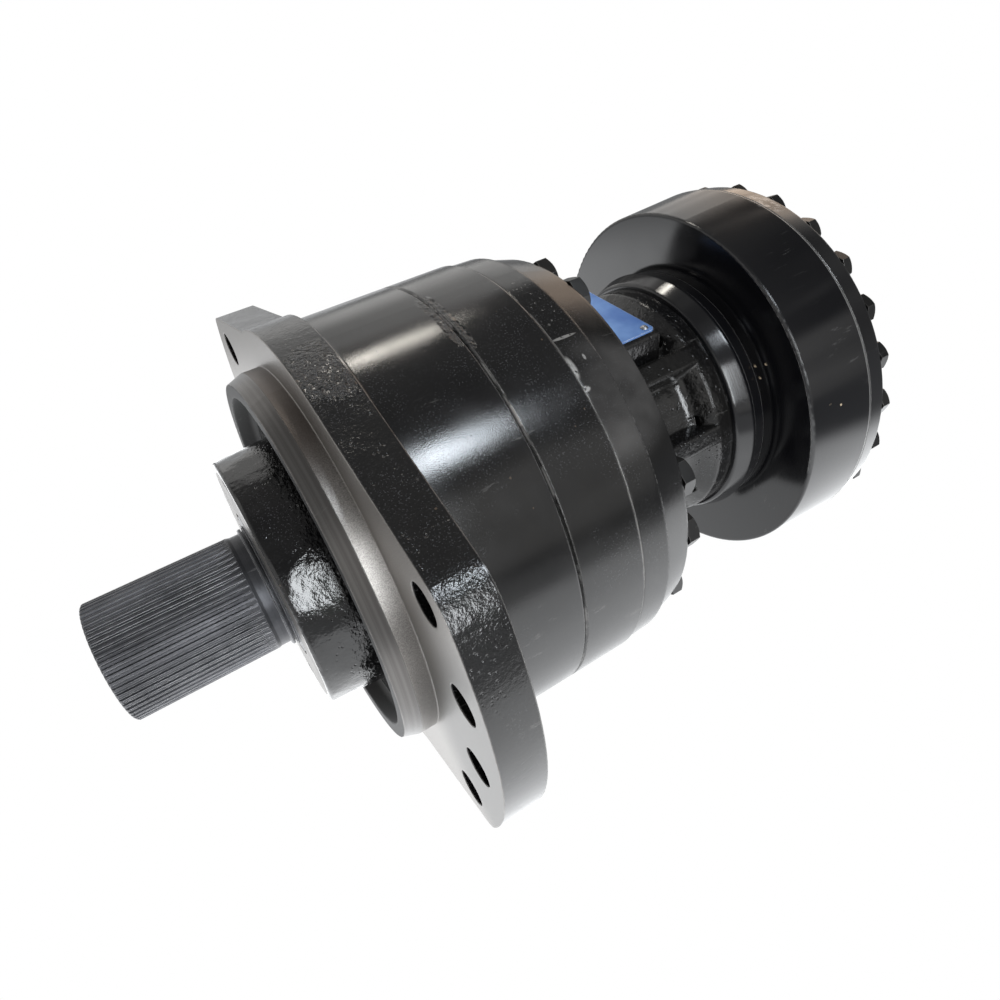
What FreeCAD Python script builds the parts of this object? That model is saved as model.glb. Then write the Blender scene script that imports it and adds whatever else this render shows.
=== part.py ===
import FreeCAD, Part
import math
import os

# Hydraulic drive motor: a radial-piston motor with a splined shaft and a multi-disc brake.
# Frame: X runs along the shaft from the spline to the brake, Z is up, the origin is the
# centre of the flange's mounting face. All sizes are millimetres and degrees.

# Clearances
running_gap = 0.05
seat_gap = 0.02
bolt_gap = 0.5

# Output shaft
shaft_reach = 107.0
spline_tip = 27.4
spline_depth = 1.1
spline_teeth = 56
spline_chamfer = 0.8
spline_length = 63.0
hob_radius = 38.0
neck_relief = 0.4
collar_height = 1.4
collar_width = 3.2
seal_land = 35.0
bearing_shoulder_height = 5.0
shoulder_width = 9.0
rear_journal = 30.0
inner_spline_tip = 28.0
inner_spline_root = 26.2
inner_spline_teeth = 24
inner_spline_engagement = 21.0
centre_thread = 5.1
centre_depth = 28.0

# Front housing: boss, spigot, mounting flange and bearing barrel
boss_reach = 35.0
boss_wall = 4.0
boss_draft = 2.0
spigot_height = 15.0
spigot_radius = 91.3
spigot_chamfer = 2.5
spigot_lead = 7.0
spigot_wall = 9.0
recess_floor = 6.0
flange_thickness = 19.5
flange_step = 3.2
lobe_margin = 18.5
lobe_edge_angle = 72.0
lobe_kink_angle = 73.7
lobe_kink_inset = 3.0
lobe_corner = 25.0
lobe_tip = 13.0
flange_hole = 8.5
flange_hole_clearance = 15.0
flange_hole_angles = (-30.0, -10.0, 10.0, 30.0)
barrel_radius = 104.3
housing_length = 65.2
seam_chamfer = 0.9
seal_cover_lip = 1.0
seal_cover_thickness = 3.0
seal_width = 12.0

# Taper roller bearings
front_bore = 35.0
front_outer = 55.0
front_width = 25.0
front_bearing_x = -8.0
rear_bore = 30.0
rear_outer = 47.5
rear_width = 23.0
middle_shoulder = 13.0
shoulder_bore = 42.5
roller_count = 16
axis_tilt = 14.5
roller_taper = 2.0
bearing_nut_width = 6.8
bearing_nut_radius = 38.0

# Cam ring, cylinder block, pistons and rollers
cam_ring_width = 30.9
cam_wall = 11.0
cam_wave = 7.0
cam_lobes = 6
block_retreat = 1.0
block_front_gap = 1.5
block_length = 41.5
piston_count = 8
piston_radius = 12.0
bore_floor = 36.7
cradle_height = 2.2
cam_roller_radius = 7.0
cam_roller_length = 17.0
roller_retreat = 5.0
chamber_gap = 2.0
feed_hole = 4.0
feed_offset = 7.3

# Distributor
distributor_steps = (60.0, 53.0, 46.0)
distributor_step_width = 6.6
distributor_bore = 24.0
distributor_gap = 0.2
ring_groove_depth = 1.6
ring_groove_width = 2.4

# Rear case: bolt ring and ribbed neck
case_ring_width = 31.3
case_step_width = 14.7
case_inset = 0.9
case_step_inset = 2.5
case_back_inset = 7.1
neck_length = 60.8
neck_core = 54.0
neck_rib_height = 10.0
neck_rib_width = 10.0
neck_blend = 9.0
neck_end_flange = 63.0
neck_end_width = 9.0
neck_bore = 22.0
neck_pilot = 44.0
neck_pilot_length = 5.0
rib_angles = (127.5, 165.0, 247.5, 7.5, 45.0, 285.0)
pad_height = 65.2
pad_width = 62.0
pad_length = 38.0
port_block_start = 13.0
port_block_width = 88.0
port_block_length = 42.0
port_block_height = 67.0
port_thread = 12.6
port_depth = 20.0
port_spacing = 42.0
port_face = 18.0
drain_angle = 7.5
drain_thread = 7.6
drain_depth = 14.0
drain_boss = 15.0
drain_height = 72.0

# Case bolts: three groups of two pairs
case_bolt_edge = 15.3
case_bolt_angles = (83.5, 98.5, 160.0, 178.0)
case_bolt_groups = 3
case_bolt_radius = 5.0
case_bolt_flats = 16.0
case_bolt_head_height = 6.4
case_bolt_grip = 18.0

# Name plate
plate_width = 58.0
plate_length = 34.0
plate_thickness = 1.0
rivet_radius = 1.2
rivet_inset = 3.6

# Brake
brake_hub_length = 17.2
adapter_rim = 2.1
adapter_taper = 3.3
adapter_groove = 2.0
adapter_groove_width = 5.7
adapter_pilot = 38.0
adapter_pilot_length = 3.0
brake_radius = 97.8
brake_front_taper = 1.6
brake_back_taper = 1.8
brake_shell_width = 37.1
brake_wall = 9.0
brake_bolt_wall = 7.0
piston_step = 4.0
shaft_way = 31.0
cover_thickness = 12.3
cover_pocket = 4.0
outer_disc_count = 4
outer_disc_thickness = 2.0
inner_disc_thickness = 2.4
disc_gap = 0.15
disc_inner = 47.0
lining_inset = 3.0
hub_spline_tip = 42.0
hub_spline_root = 40.0
hub_spline_teeth = 20
brake_piston_width = 11.0
brake_piston_bore = 50.0
disc_spring_thickness = 2.6
brake_shaft_radius = 17.0
brake_spline_tip = 20.0
brake_spline_root = 18.6
brake_spline_teeth = 16
brake_spline_length = 16.0
bush_length = 14.0
brake_bolt_edge = 8.8
brake_bolt_count = 24
brake_bolt_phase = 5.5
brake_bolt_radius = 4.0
brake_bolt_flats = 13.0
brake_bolt_head_height = 5.3
brake_bolt_grip = 16.0
hub_screw_edge = 10.0
hub_screw_count = 8
hub_screw_grip = 14.0
hub_screw_head = 6.5
hub_screw_head_height = 5.0
hub_screw_socket = 5.0
brake_port_angle = -62.0
brake_port_offset = 1.0
brake_port_thread = 5.8
brake_port_depth = 11.0
brake_port_face = 11.0
end_plug_thread = 10.0
end_plug_head = 14.0

# Radii that follow from others
spline_root = spline_tip - spline_depth
shaft_neck = spline_tip - neck_relief
collar_radius = spline_tip + collar_height
bearing_shoulder = front_bore + bearing_shoulder_height
seal_cover_radius = front_outer + seal_cover_lip
boss_radius = seal_cover_radius + boss_wall
recess_radius = spigot_radius - spigot_wall
flange_body = barrel_radius + flange_step
flange_hole_circle = flange_body + flange_hole_clearance
lobe_radius = flange_hole_circle + lobe_margin
lobe_kink_distance = flange_body - lobe_kink_inset
case_front_radius = barrel_radius - case_inset
case_step_radius = barrel_radius - case_step_inset
case_back_radius = barrel_radius - case_back_inset
case_bolt_circle = barrel_radius - case_bolt_edge
cam_valley = case_bolt_circle - cam_wall
cam_crest = cam_valley - cam_wave
chamber_radius = cam_valley + chamber_gap
cam_roller_offset = cam_crest - cam_roller_radius - roller_retreat
piston_top = cam_roller_offset + cradle_height
block_radius = cam_roller_offset - block_retreat
feed_circle = bore_floor + feed_offset
neck_rib = neck_core + neck_rib_height
adapter_front = neck_end_flange + adapter_rim
adapter_base = adapter_front + adapter_taper
brake_front_radius = brake_radius - brake_front_taper
brake_back_radius = brake_radius - brake_back_taper
brake_bolt_circle = brake_radius - brake_bolt_edge
piston_chamber = brake_bolt_circle - brake_bolt_wall
disc_chamber = piston_chamber - piston_step
lining_radius = disc_chamber - lining_inset
hub_screw_circle = neck_pilot + hub_screw_edge

# Stations along the shaft
x_shaft = -shaft_reach
x_boss = -boss_reach
x_spigot = -spigot_height
x_cam = housing_length
x_case = x_cam + cam_ring_width
x_case_step = x_case + case_step_width
x_ring_back = x_case + case_ring_width
x_hub = x_ring_back + neck_length
x_brake = x_hub + brake_hub_length
x_cover = x_brake + brake_shell_width
x_end = x_cover + cover_thickness
x_front_cup = front_bearing_x + front_width
x_rear_cone = x_front_cup + middle_shoulder
x_rear_end = x_rear_cone + rear_width
x_nut_end = x_rear_end + bearing_nut_width
x_web = x_nut_end + 1.0
x_block = x_web + block_front_gap
x_block_end = x_block + block_length
x_pistons = x_cam + cam_ring_width / 2
x_distributor = x_block_end + distributor_gap
x_discs = x_brake + brake_wall
x_pack_end = (x_discs + outer_disc_count * (outer_disc_thickness + disc_gap)
              + (outer_disc_count - 1) * (inner_disc_thickness + disc_gap))
x_brake_piston = x_pack_end + disc_gap
x_brake_piston_end = x_brake_piston + brake_piston_width
bore_wall = piston_radius + running_gap

AXIS = FreeCAD.Vector(1, 0, 0)
ORIGIN = FreeCAD.Vector(0, 0, 0)


def axial(x, r):
    """Place a half-section point: x along the shaft, r from its axis."""
    return FreeCAD.Vector(x, 0, r)


def across(x):
    """Return a placing function for outlines that lie across the shaft at x."""
    return lambda y, z: FreeCAD.Vector(x, y, z)


def polar(radius, angle):
    """Return the y and z of a point at an angle from +Y towards +Z."""
    turn = math.radians(angle)
    return radius * math.cos(turn), radius * math.sin(turn)


def corner(before, here, after, radius, place):
    """Return the two ends and the arc that round one corner of an outline."""
    back = (before[0] - here[0], before[1] - here[1])
    ahead = (after[0] - here[0], after[1] - here[1])
    back_length = math.hypot(*back)
    ahead_length = math.hypot(*ahead)
    u = (back[0] / back_length, back[1] / back_length)
    v = (ahead[0] / ahead_length, ahead[1] / ahead_length)
    half = math.acos(max(-1.0, min(1.0, u[0] * v[0] + u[1] * v[1]))) / 2
    reach = radius / math.tan(half)
    middle = (u[0] + v[0], u[1] + v[1])
    middle_length = math.hypot(*middle)
    depth = radius / math.sin(half) - radius
    start = place(here[0] + u[0] * reach, here[1] + u[1] * reach)
    end = place(here[0] + v[0] * reach, here[1] + v[1] * reach)
    top = place(here[0] + middle[0] / middle_length * depth,
                here[1] + middle[1] / middle_length * depth)
    return start, end, Part.Arc(start, top, end).toShape()


def outline_face(points, place):
    """Make a face from points (a, b) or (a, b, corner radius)."""
    edges = []
    ends = []
    count = len(points)
    for i, point in enumerate(points):
        if len(point) == 3 and point[2] > 0:
            start, end, arc = corner(points[i - 1], point, points[(i + 1) % count], point[2], place)
            ends.append((start, end, arc))
        else:
            spot = place(point[0], point[1])
            ends.append((spot, spot, None))
    for i, (start, end, arc) in enumerate(ends):
        if arc is not None:
            edges.append(arc)
        following = ends[(i + 1) % count][0]
        if end.distanceToPoint(following) > 1e-6:
            edges.append(Part.makeLine(end, following))
    return Part.Face(Part.Wire(Part.__sortEdges__(edges)))


def turned(points):
    """Turn a half-section about the shaft axis."""
    return outline_face(points, axial).revolve(ORIGIN, AXIS, 360)


def ring(x, length, outer, inner=0.0):
    """Make a plain ring or disc that starts at x."""
    body = Part.makeCylinder(outer, length, FreeCAD.Vector(x, 0, 0), AXIS)
    if inner > 0:
        body = body.cut(Part.makeCylinder(inner, length + 2, FreeCAD.Vector(x - 1, 0, 0), AXIS))
    return body


def rod(x, length, radius, circle, angle):
    """Make a cylinder along the shaft direction on a circle about the axis."""
    y, z = polar(circle, angle)
    return Part.makeCylinder(radius, length, FreeCAD.Vector(x, y, z), AXIS)


def radial_rod(x, angle, start, end, radius):
    """Make a cylinder that points away from the shaft axis."""
    y, z = polar(1.0, angle)
    base = FreeCAD.Vector(x, y * start, z * start)
    return Part.makeCylinder(radius, end - start, base, FreeCAD.Vector(0, y, z))


def turn_about_shaft(shape, angle):
    copy = shape.copy()
    copy.rotate(ORIGIN, AXIS, angle)
    return copy


def repeat(shape, count, start=0.0):
    """Return copies of a shape spread evenly about the shaft."""
    return [turn_about_shaft(shape, start + 360.0 * i / count) for i in range(count)]


def box(x, y, z, dx, dy, dz):
    return Part.makeBox(dx, dy, dz, FreeCAD.Vector(x, y, z))


def spline_face(x, tip, root, teeth, gap=0.0):
    """Make the cross-section of a spline with straight-sided teeth, gap wider all round."""
    pitch = 360.0 / teeth
    points = []
    for i in range(teeth):
        middle = i * pitch
        for radius, share in ((root, -0.34), (tip, -0.16), (tip, 0.16), (root, 0.34)):
            points.append(polar(radius + gap, middle + share * pitch))
    return outline_face(points, across(x))


def spline_bar(x, length, tip, root, teeth, gap=0.0):
    return spline_face(x, tip, root, teeth, gap).extrude(FreeCAD.Vector(length, 0, 0))


def save(node, *shapes):
    """Write one node: a solid, or a group of separate solids."""
    shape = shapes[0] if len(shapes) == 1 else Part.makeCompound(list(shapes))
    if not shape.isValid():
        raise ValueError(node + " is not a valid shape")
    shape.exportStep("parts/" + node + ".step")


def cap_screw(x, grip, radius, head, head_height, socket):
    """Make a socket-head screw on the axis: head on +X, its seat at x."""
    screw = turned([(x - grip, 0), (x - grip, radius - 0.8), (x - grip + 0.8, radius), (x, radius),
                    (x, head), (x + head_height - 0.8, head), (x + head_height, head - 0.8),
                    (x + head_height, 0)])
    flats = [polar(socket / 2 / math.cos(math.radians(30)), 60.0 * i) for i in range(6)]
    key = outline_face(flats, across(x + head_height * 0.5))
    return screw.cut(key.extrude(FreeCAD.Vector(head_height, 0, 0)))


def hex_screw(x, grip, radius, flats, head_height):
    """Make a hexagon-head screw on the axis: head on +X with chamfered corners, its seat at x."""
    reach = flats / 2 / math.cos(math.radians(30))
    corners = [polar(reach, 60.0 * i) for i in range(6)]
    head = outline_face(corners, across(x)).extrude(FreeCAD.Vector(head_height, 0, 0))
    dome = turned([(x - 1, 0), (x - 1, reach + 1), (x + head_height - 1.0, reach + 1),
                   (x + head_height - 1.0, reach), (x + head_height, flats / 2 - 0.3), (x + head_height, 0)])
    shank = turned([(x - grip, 0), (x - grip, radius - 0.8), (x - grip + 0.8, radius), (x, radius), (x, 0)])
    return head.common(dome).fuse(shank).removeSplitter()


def screws_at(screw, circle, angles):
    """Copy a screw from the axis to places on a circle."""
    copies = []
    for angle in angles:
        copy = screw.copy()
        copy.translate(FreeCAD.Vector(0, circle, 0))
        copies.append(turn_about_shaft(copy, angle))
    return copies


def case_angles():
    step = 360.0 / case_bolt_groups
    return [angle + step * i for i in range(case_bolt_groups) for angle in case_bolt_angles]


def brake_angles():
    return [brake_bolt_phase + 360.0 / brake_bolt_count * i for i in range(brake_bolt_count)]


def hub_screw_angles():
    return [22.5 + 360.0 / hub_screw_count * i for i in range(hub_screw_count)]


def output_shaft():
    """The splined shaft: bearing seats, seal land, and a hobbed spline that runs out on a curve."""
    x_runout = x_shaft + spline_length
    x_collar = x_boss - collar_width
    x_shoulder = front_bearing_x - shoulder_width
    x_inner = x_block + inner_spline_engagement
    body = turned([
        (x_shaft, 0), (x_shaft, spline_tip - spline_chamfer), (x_shaft + spline_chamfer, spline_tip),
        (x_runout, spline_tip), (x_runout + 1.5, shaft_neck), (x_collar, shaft_neck),
        (x_collar, collar_radius - 0.4), (x_collar + 0.4, collar_radius), (x_collar + 1.4, collar_radius),
        (x_collar + 1.4, shaft_neck + 0.5), (x_collar + 2.2, shaft_neck + 0.5),
        (x_collar + 2.2, collar_radius + 0.8), (x_boss, collar_radius + 0.8),
        (x_boss, seal_land - 1.0), (x_boss + 1.0, seal_land),
        (x_shoulder, seal_land), (x_shoulder, bearing_shoulder),
        (front_bearing_x, bearing_shoulder), (front_bearing_x, front_bore),
        (x_rear_cone - 0.5, front_bore), (x_rear_cone - 0.5, rear_journal),
        (x_nut_end, rear_journal), (x_nut_end, inner_spline_root - 0.5),
        (x_inner, inner_spline_root - 0.5), (x_inner, 0)])
    inner = spline_bar(x_block, inner_spline_engagement, inner_spline_tip, inner_spline_root,
                       inner_spline_teeth)
    groove_floor = math.sqrt(hob_radius ** 2 - (hob_radius - (spline_tip - spline_root)) ** 2)
    stock = turned([
        (x_shaft - 1, spline_tip + 3), (x_shaft - 1, spline_root), (x_runout - groove_floor, spline_root),
        (x_runout - groove_floor / 2, spline_root + (spline_tip - spline_root) * 0.3),
        (x_runout, spline_tip), (x_runout + 1, spline_tip + 3)])
    teeth = spline_bar(x_shaft - 2, spline_length + 6, spline_tip + 0.01, spline_root, spline_teeth)
    grooves = ring(x_shaft - 1.5, spline_length + 5, spline_tip + 2, spline_root - 0.6).cut(teeth)
    centre = turned([(x_shaft - 1, 0), (x_shaft - 1, centre_thread + 3), (x_shaft, centre_thread + 2),
                     (x_shaft + 2, centre_thread), (x_shaft + centre_depth, centre_thread),
                     (x_shaft + centre_depth + 3, 0)])
    return body.fuse(inner).cut(grooves.common(stock)).cut(centre)


def flange_plate():
    """The mounting flange: a round body with two lobes, each cut by a tangent edge and a kinked edge."""
    body = ring(0, flange_thickness, flange_body)
    plate = body
    for half_turn in (0.0, 180.0):
        reach = lobe_radius * 1.6
        edge = lobe_edge_angle
        kink = lobe_kink_angle
        top_foot = polar(flange_body, half_turn - edge)
        top_away = polar(reach, half_turn - edge + 90)
        low_foot = polar(lobe_kink_distance, half_turn + kink)
        low_away = polar(reach, half_turn + kink - 90)
        wedge = outline_face([
            (0, 0), top_foot, (top_foot[0] + top_away[0], top_foot[1] + top_away[1]),
            polar(reach * 1.3, half_turn), (low_foot[0] + low_away[0], low_foot[1] + low_away[1]),
            low_foot], across(0)).extrude(FreeCAD.Vector(flange_thickness, 0, 0))
        lobe = wedge.common(ring(0, flange_thickness, lobe_radius))
        lobe = lobe.makeFillet(lobe_corner, lobe_corner_edges(lobe, half_turn - edge / 2))
        lobe = lobe.makeFillet(lobe_tip, lobe_corner_edges(lobe, half_turn + kink / 2))
        plate = plate.fuse(lobe)
    hollow = ring(-1, flange_thickness + 2, (spigot_radius + front_outer) / 2)
    return plate.cut(hollow).removeSplitter()


def lobe_corner_edges(lobe, angle):
    """Find the lobe's outer corner nearest an angle: its edge runs through the flange's thickness."""
    y, z = polar(1.0, angle)
    found = []
    for edge in lobe.Edges:
        ends = [v.Point for v in edge.Vertexes]
        if len(ends) != 2 or abs(abs(ends[0].x - ends[1].x) - flange_thickness) > 0.01:
            continue
        radius = math.hypot(ends[0].y, ends[0].z)
        if radius > lobe_radius - 0.5 and ends[0].y * y + ends[0].z * z > radius * 0.9:
            found.append(edge)
    return found


def front_housing():
    """One casting: boss, recessed spigot, lobed flange and the barrel that carries both bearings."""
    body = turned([
        (x_boss, seal_cover_radius + seat_gap), (x_boss, boss_radius, 1.2),
        (-recess_floor, boss_radius + boss_draft, 4.0), (-recess_floor, recess_radius - 1.5, 3.5),
        (x_spigot, recess_radius, 0.6), (x_spigot, spigot_radius - spigot_chamfer),
        (x_spigot + spigot_lead, spigot_radius), (0, spigot_radius), (0, flange_body - 1.0),
        (flange_thickness, flange_body - 1.0), (flange_thickness, barrel_radius, 2.0),
        (x_cam - seam_chamfer, barrel_radius), (x_cam, barrel_radius - seam_chamfer),
        (x_cam, chamber_radius - 2.0), (x_web, chamber_radius - 2.0, 3.0),
        (x_web, bearing_nut_radius + 2.0), (x_rear_end, bearing_nut_radius + 2.0),
        (x_rear_end, rear_outer + seat_gap), (x_rear_cone, rear_outer + seat_gap),
        (x_rear_cone, shoulder_bore), (x_front_cup, shoulder_bore),
        (x_front_cup, front_outer + seat_gap), (x_boss + seal_cover_thickness, front_outer + seat_gap),
        (x_boss + seal_cover_thickness, seal_cover_radius + seat_gap)])
    body = body.fuse(flange_plate()).removeSplitter()
    for half_turn in (0.0, 180.0):
        for angle in flange_hole_angles:
            body = body.cut(rod(-1, flange_thickness + 2, flange_hole, flange_hole_circle, half_turn + angle))
    for angle in case_angles():
        body = body.cut(rod(x_cam - case_bolt_grip - 4, case_bolt_grip + 5, case_bolt_radius + running_gap,
                            case_bolt_circle, angle))
    return body.cut(face_groove(x_cam, -1))


def face_groove(x, side):
    """The seal ring's groove: it opens at x towards the cam ring and goes side times its depth."""
    middle = (cam_valley + case_bolt_circle - case_bolt_radius - bolt_gap) / 2
    depth = 2.0
    start = x - depth if side < 0 else x
    return ring(start, depth, middle + 1.4, middle - 1.4)


def seal_ring(x, side):
    """A squashed sealing ring that fills its groove."""
    middle = (cam_valley + case_bolt_circle - case_bolt_radius - bolt_gap) / 2
    depth = 2.0 - 2 * seat_gap
    start = x - depth - seat_gap if side < 0 else x + seat_gap
    half = 1.3
    return turned([(start, middle - half, 0.6), (start + depth, middle - half, 0.6),
                   (start + depth, middle + half, 0.6), (start, middle + half, 0.6)])


def taper_bearing(x, width, bore, outer, big_end):
    """Return cone, cup, cage and rollers. big_end is -1 when the rollers' big ends face -X."""
    mean = (bore + outer) / 2
    roller = (outer - bore) * 0.21
    length = width * 0.66
    tilt = math.tan(math.radians(axis_tilt)) * big_end
    taper = math.tan(math.radians(roller_taper))
    x_mid = x + width / 2
    inner_slope = math.tan(math.radians(axis_tilt - roller_taper)) * big_end
    outer_slope = math.tan(math.radians(axis_tilt + roller_taper)) * big_end
    offset = roller / math.cos(math.radians(axis_tilt)) + running_gap
    half = length / 2 + 1.3

    def inner_race(s):
        return mean - offset + inner_slope * (s - x_mid)

    def outer_race(s):
        return mean + offset + outer_slope * (s - x_mid)

    big = x_mid + big_end * half
    small = x_mid - big_end * half
    big_face = x_mid + big_end * width / 2
    small_face = x_mid - big_end * width / 2
    rib = 2.2
    cone = turned([
        (small_face, bore + seat_gap), (small_face, inner_race(small) + 1.0),
        (small, inner_race(small) + 1.0), (small, inner_race(small)), (big, inner_race(big)),
        (big, inner_race(big) + rib), (big_face, inner_race(big) + rib), (big_face, bore + seat_gap)])
    cup = turned([
        (small_face, outer), (small_face, outer_race(small_face)), (big_face, outer_race(big_face)),
        (big_face, outer)])
    start = FreeCAD.Vector(x_mid - big_end * length / 2, 0, mean - abs(tilt) * length / 2)
    direction = FreeCAD.Vector(big_end, 0, abs(tilt))
    single = Part.makeCone(roller - taper * length / 2, roller + taper * length / 2,
                           length, start, direction)
    rollers = repeat(single, roller_count)
    thickness = 1.4
    cage_half = half + 1.2

    def cage_middle(s):
        return mean + tilt * (s - x_mid)

    lead = x_mid - cage_half
    tail = x_mid + cage_half
    shell = turned([
        (lead, cage_middle(lead) - thickness), (tail, cage_middle(tail) - thickness),
        (tail, cage_middle(tail) + thickness), (lead, cage_middle(lead) + thickness)])
    window = Part.makeCone(roller - taper * length / 2 + 0.08, roller + taper * length / 2 + 0.08,
                           length + 0.4, start - direction * (0.2 / direction.Length), direction)
    for pocket in repeat(window, roller_count):
        shell = shell.cut(pocket)
    return cone, cup, shell, rollers


def shaft_seal():
    """Lip seal: a metal-cased ring with its lip on the shaft's seal land."""
    x = x_boss + seal_cover_thickness + 0.2
    lip = seal_land + running_gap
    end = x + seal_width
    return turned([
        (x, front_outer), (x, lip + 3.0), (x + 2.0, lip + 2.6), (x + 4.0, lip), (x + 5.5, lip),
        (x + 9.0, lip + 3.5), (x + 5.0, lip + 6.0), (x + 2.6, lip + 6.5), (x + 2.6, front_outer - 2.2),
        (end, front_outer - 2.2), (end, front_outer)])


def seal_cover():
    """Flush ring in front of the seal, with two slots in its rim to lift it out."""
    cover = ring(x_boss, seal_cover_thickness, seal_cover_radius, seal_land + 0.8)
    for angle in (80.0, 260.0):
        slot = box(x_boss - 1, -4.5, -2.4, 2.4, 9.0, 4.0)
        slot.translate(FreeCAD.Vector(0, 0, seal_cover_radius - 1.0))
        cover = cover.cut(turn_about_shaft(slot, angle - 90.0))
    return cover


def bearing_nut():
    """Slotted round nut that clamps the bearing cones."""
    nut = ring(x_rear_end, bearing_nut_width, bearing_nut_radius, rear_journal + seat_gap)
    slot = box(x_rear_end - 1, -3.5, bearing_nut_radius - 2.5, bearing_nut_width + 2, 7.0, 5.0)
    for cut in repeat(slot, 4, 45.0):
        nut = nut.cut(cut)
    return nut


def cam_ring():
    """The ring whose inner wave drives the rollers."""
    mean = (cam_crest + cam_valley) / 2
    height = (cam_valley - cam_crest) / 2
    steps = cam_lobes * 8
    points = []
    for i in range(steps):
        angle = 360.0 * i / steps
        y, z = polar(mean + height * math.cos(math.radians(cam_lobes * angle)), angle)
        points.append(FreeCAD.Vector(x_cam - 1, y, z))
    wave = Part.BSplineCurve()
    wave.interpolate(points, PeriodicFlag=True)
    track = Part.Face(Part.Wire(wave.toShape())).extrude(FreeCAD.Vector(cam_ring_width + 2, 0, 0))
    body = turned([
        (x_cam, 0), (x_cam, barrel_radius - seam_chamfer), (x_cam + seam_chamfer, barrel_radius),
        (x_case - seam_chamfer * 0.6, barrel_radius), (x_case, barrel_radius - seam_chamfer * 0.6), (x_case, 0)])
    body = body.cut(track)
    for angle in case_angles():
        body = body.cut(rod(x_cam - 1, cam_ring_width + 2, case_bolt_radius + bolt_gap, case_bolt_circle, angle))
    return body


def cylinder_block():
    """The rotor: eight radial bores, feed holes to the distributor, splines for both shafts."""
    block = turned([
        (x_block, 0), (x_block, block_radius - 1.5), (x_block + 1.5, block_radius),
        (x_block_end - 1.5, block_radius), (x_block_end, block_radius - 1.5), (x_block_end, 0)])
    x_split = x_block + inner_spline_engagement + 1.0
    block = block.cut(spline_bar(x_block - 1, x_split - x_block + 1, inner_spline_tip, inner_spline_root,
                                 inner_spline_teeth, running_gap))
    block = block.cut(spline_bar(x_split - 1, x_block_end - x_split + 2, brake_spline_tip,
                                 brake_spline_root, brake_spline_teeth, running_gap))
    for i in range(piston_count):
        angle = 360.0 / piston_count * i
        block = block.cut(radial_rod(x_pistons, angle, bore_floor, block_radius + 2, bore_wall))
        block = block.cut(rod(x_pistons, x_block_end - x_pistons + 1, feed_hole, feed_circle, angle))
    return block


def piston(angle):
    """A piston drawn right in, with the cradle that wraps more than half of its roller."""
    low = bore_floor + 0.3
    body = radial_rod(x_pistons, 90.0, low, piston_top, piston_radius)
    length = cam_roller_length + 0.3
    cradle = Part.makeCylinder(cam_roller_radius + running_gap, length,
                               FreeCAD.Vector(x_pistons - length / 2, 0, cam_roller_offset), AXIS)
    groove = Part.makeCylinder(piston_radius + 1, 2.0, FreeCAD.Vector(x_pistons, 0, low + 4), FreeCAD.Vector(0, 0, 1))
    groove = groove.cut(Part.makeCylinder(piston_radius - 1.2, 2.0, FreeCAD.Vector(x_pistons, 0, low + 4),
                                          FreeCAD.Vector(0, 0, 1)))
    return turn_about_shaft(body.cut(cradle).cut(groove), angle - 90.0)


def cam_roller(angle):
    y, z = polar(cam_roller_offset, angle)
    x = x_pistons - cam_roller_length / 2
    roller = Part.makeCylinder(cam_roller_radius, cam_roller_length, FreeCAD.Vector(x, y, z), AXIS)
    ends = [e for e in roller.Edges if len(e.Vertexes) == 1 and e.Length > 1]
    return roller.makeChamfer(0.4, ends)


def distributor_outline(gap):
    """Half-section of the stepped distributor, wider by gap."""
    x = x_distributor - gap
    end = x_distributor
    points = [(x, 0)]
    for radius in distributor_steps:
        points.append((x, radius + gap))
        end += distributor_step_width
        x = end + gap
        points.append((x, radius + gap))
    points.append((x, 0))
    return points


def distributor():
    """Stepped valve plate with a port for each side of every cam lobe and three ring grooves."""
    body = turned(distributor_outline(0.0))
    length = distributor_step_width * len(distributor_steps)
    body = body.cut(ring(x_distributor - 1, length + 2, distributor_bore))
    for i in range(cam_lobes * 2):
        body = body.cut(rod(x_distributor - 1, length * 0.6, 3.2, feed_circle - 6, 15.0 + 360.0 / (cam_lobes * 2) * i))
    for i, radius in enumerate(distributor_steps):
        middle = x_distributor + distributor_step_width * (i + 0.5)
        body = body.cut(ring(middle - ring_groove_width / 2, ring_groove_width, radius + 1,
                             radius - ring_groove_depth))
    return body


def distributor_rings():
    """Three sealing rings, one in each groove of the distributor."""
    rings = []
    for i, radius in enumerate(distributor_steps):
        middle = x_distributor + distributor_step_width * (i + 0.5)
        width = ring_groove_width - 0.1
        rings.append(ring(middle - width / 2, width, radius + running_gap, radius - ring_groove_depth + seat_gap))
    return rings


def neck_section():
    """Cross-section of the neck's ribs, with rounded tips and roots."""
    half = math.degrees(neck_rib_width / 2 / neck_rib)
    root_half = half * 1.7
    points = []
    for angle in sorted(rib_angles):
        points.append(polar(neck_core - 3.0, angle - root_half) + (4.0,))
        points.append(polar(neck_rib, angle - half) + (2.0,))
        points.append(polar(neck_rib, angle + half) + (2.0,))
        points.append(polar(neck_core - 3.0, angle + root_half) + (4.0,))
    return points


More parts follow.
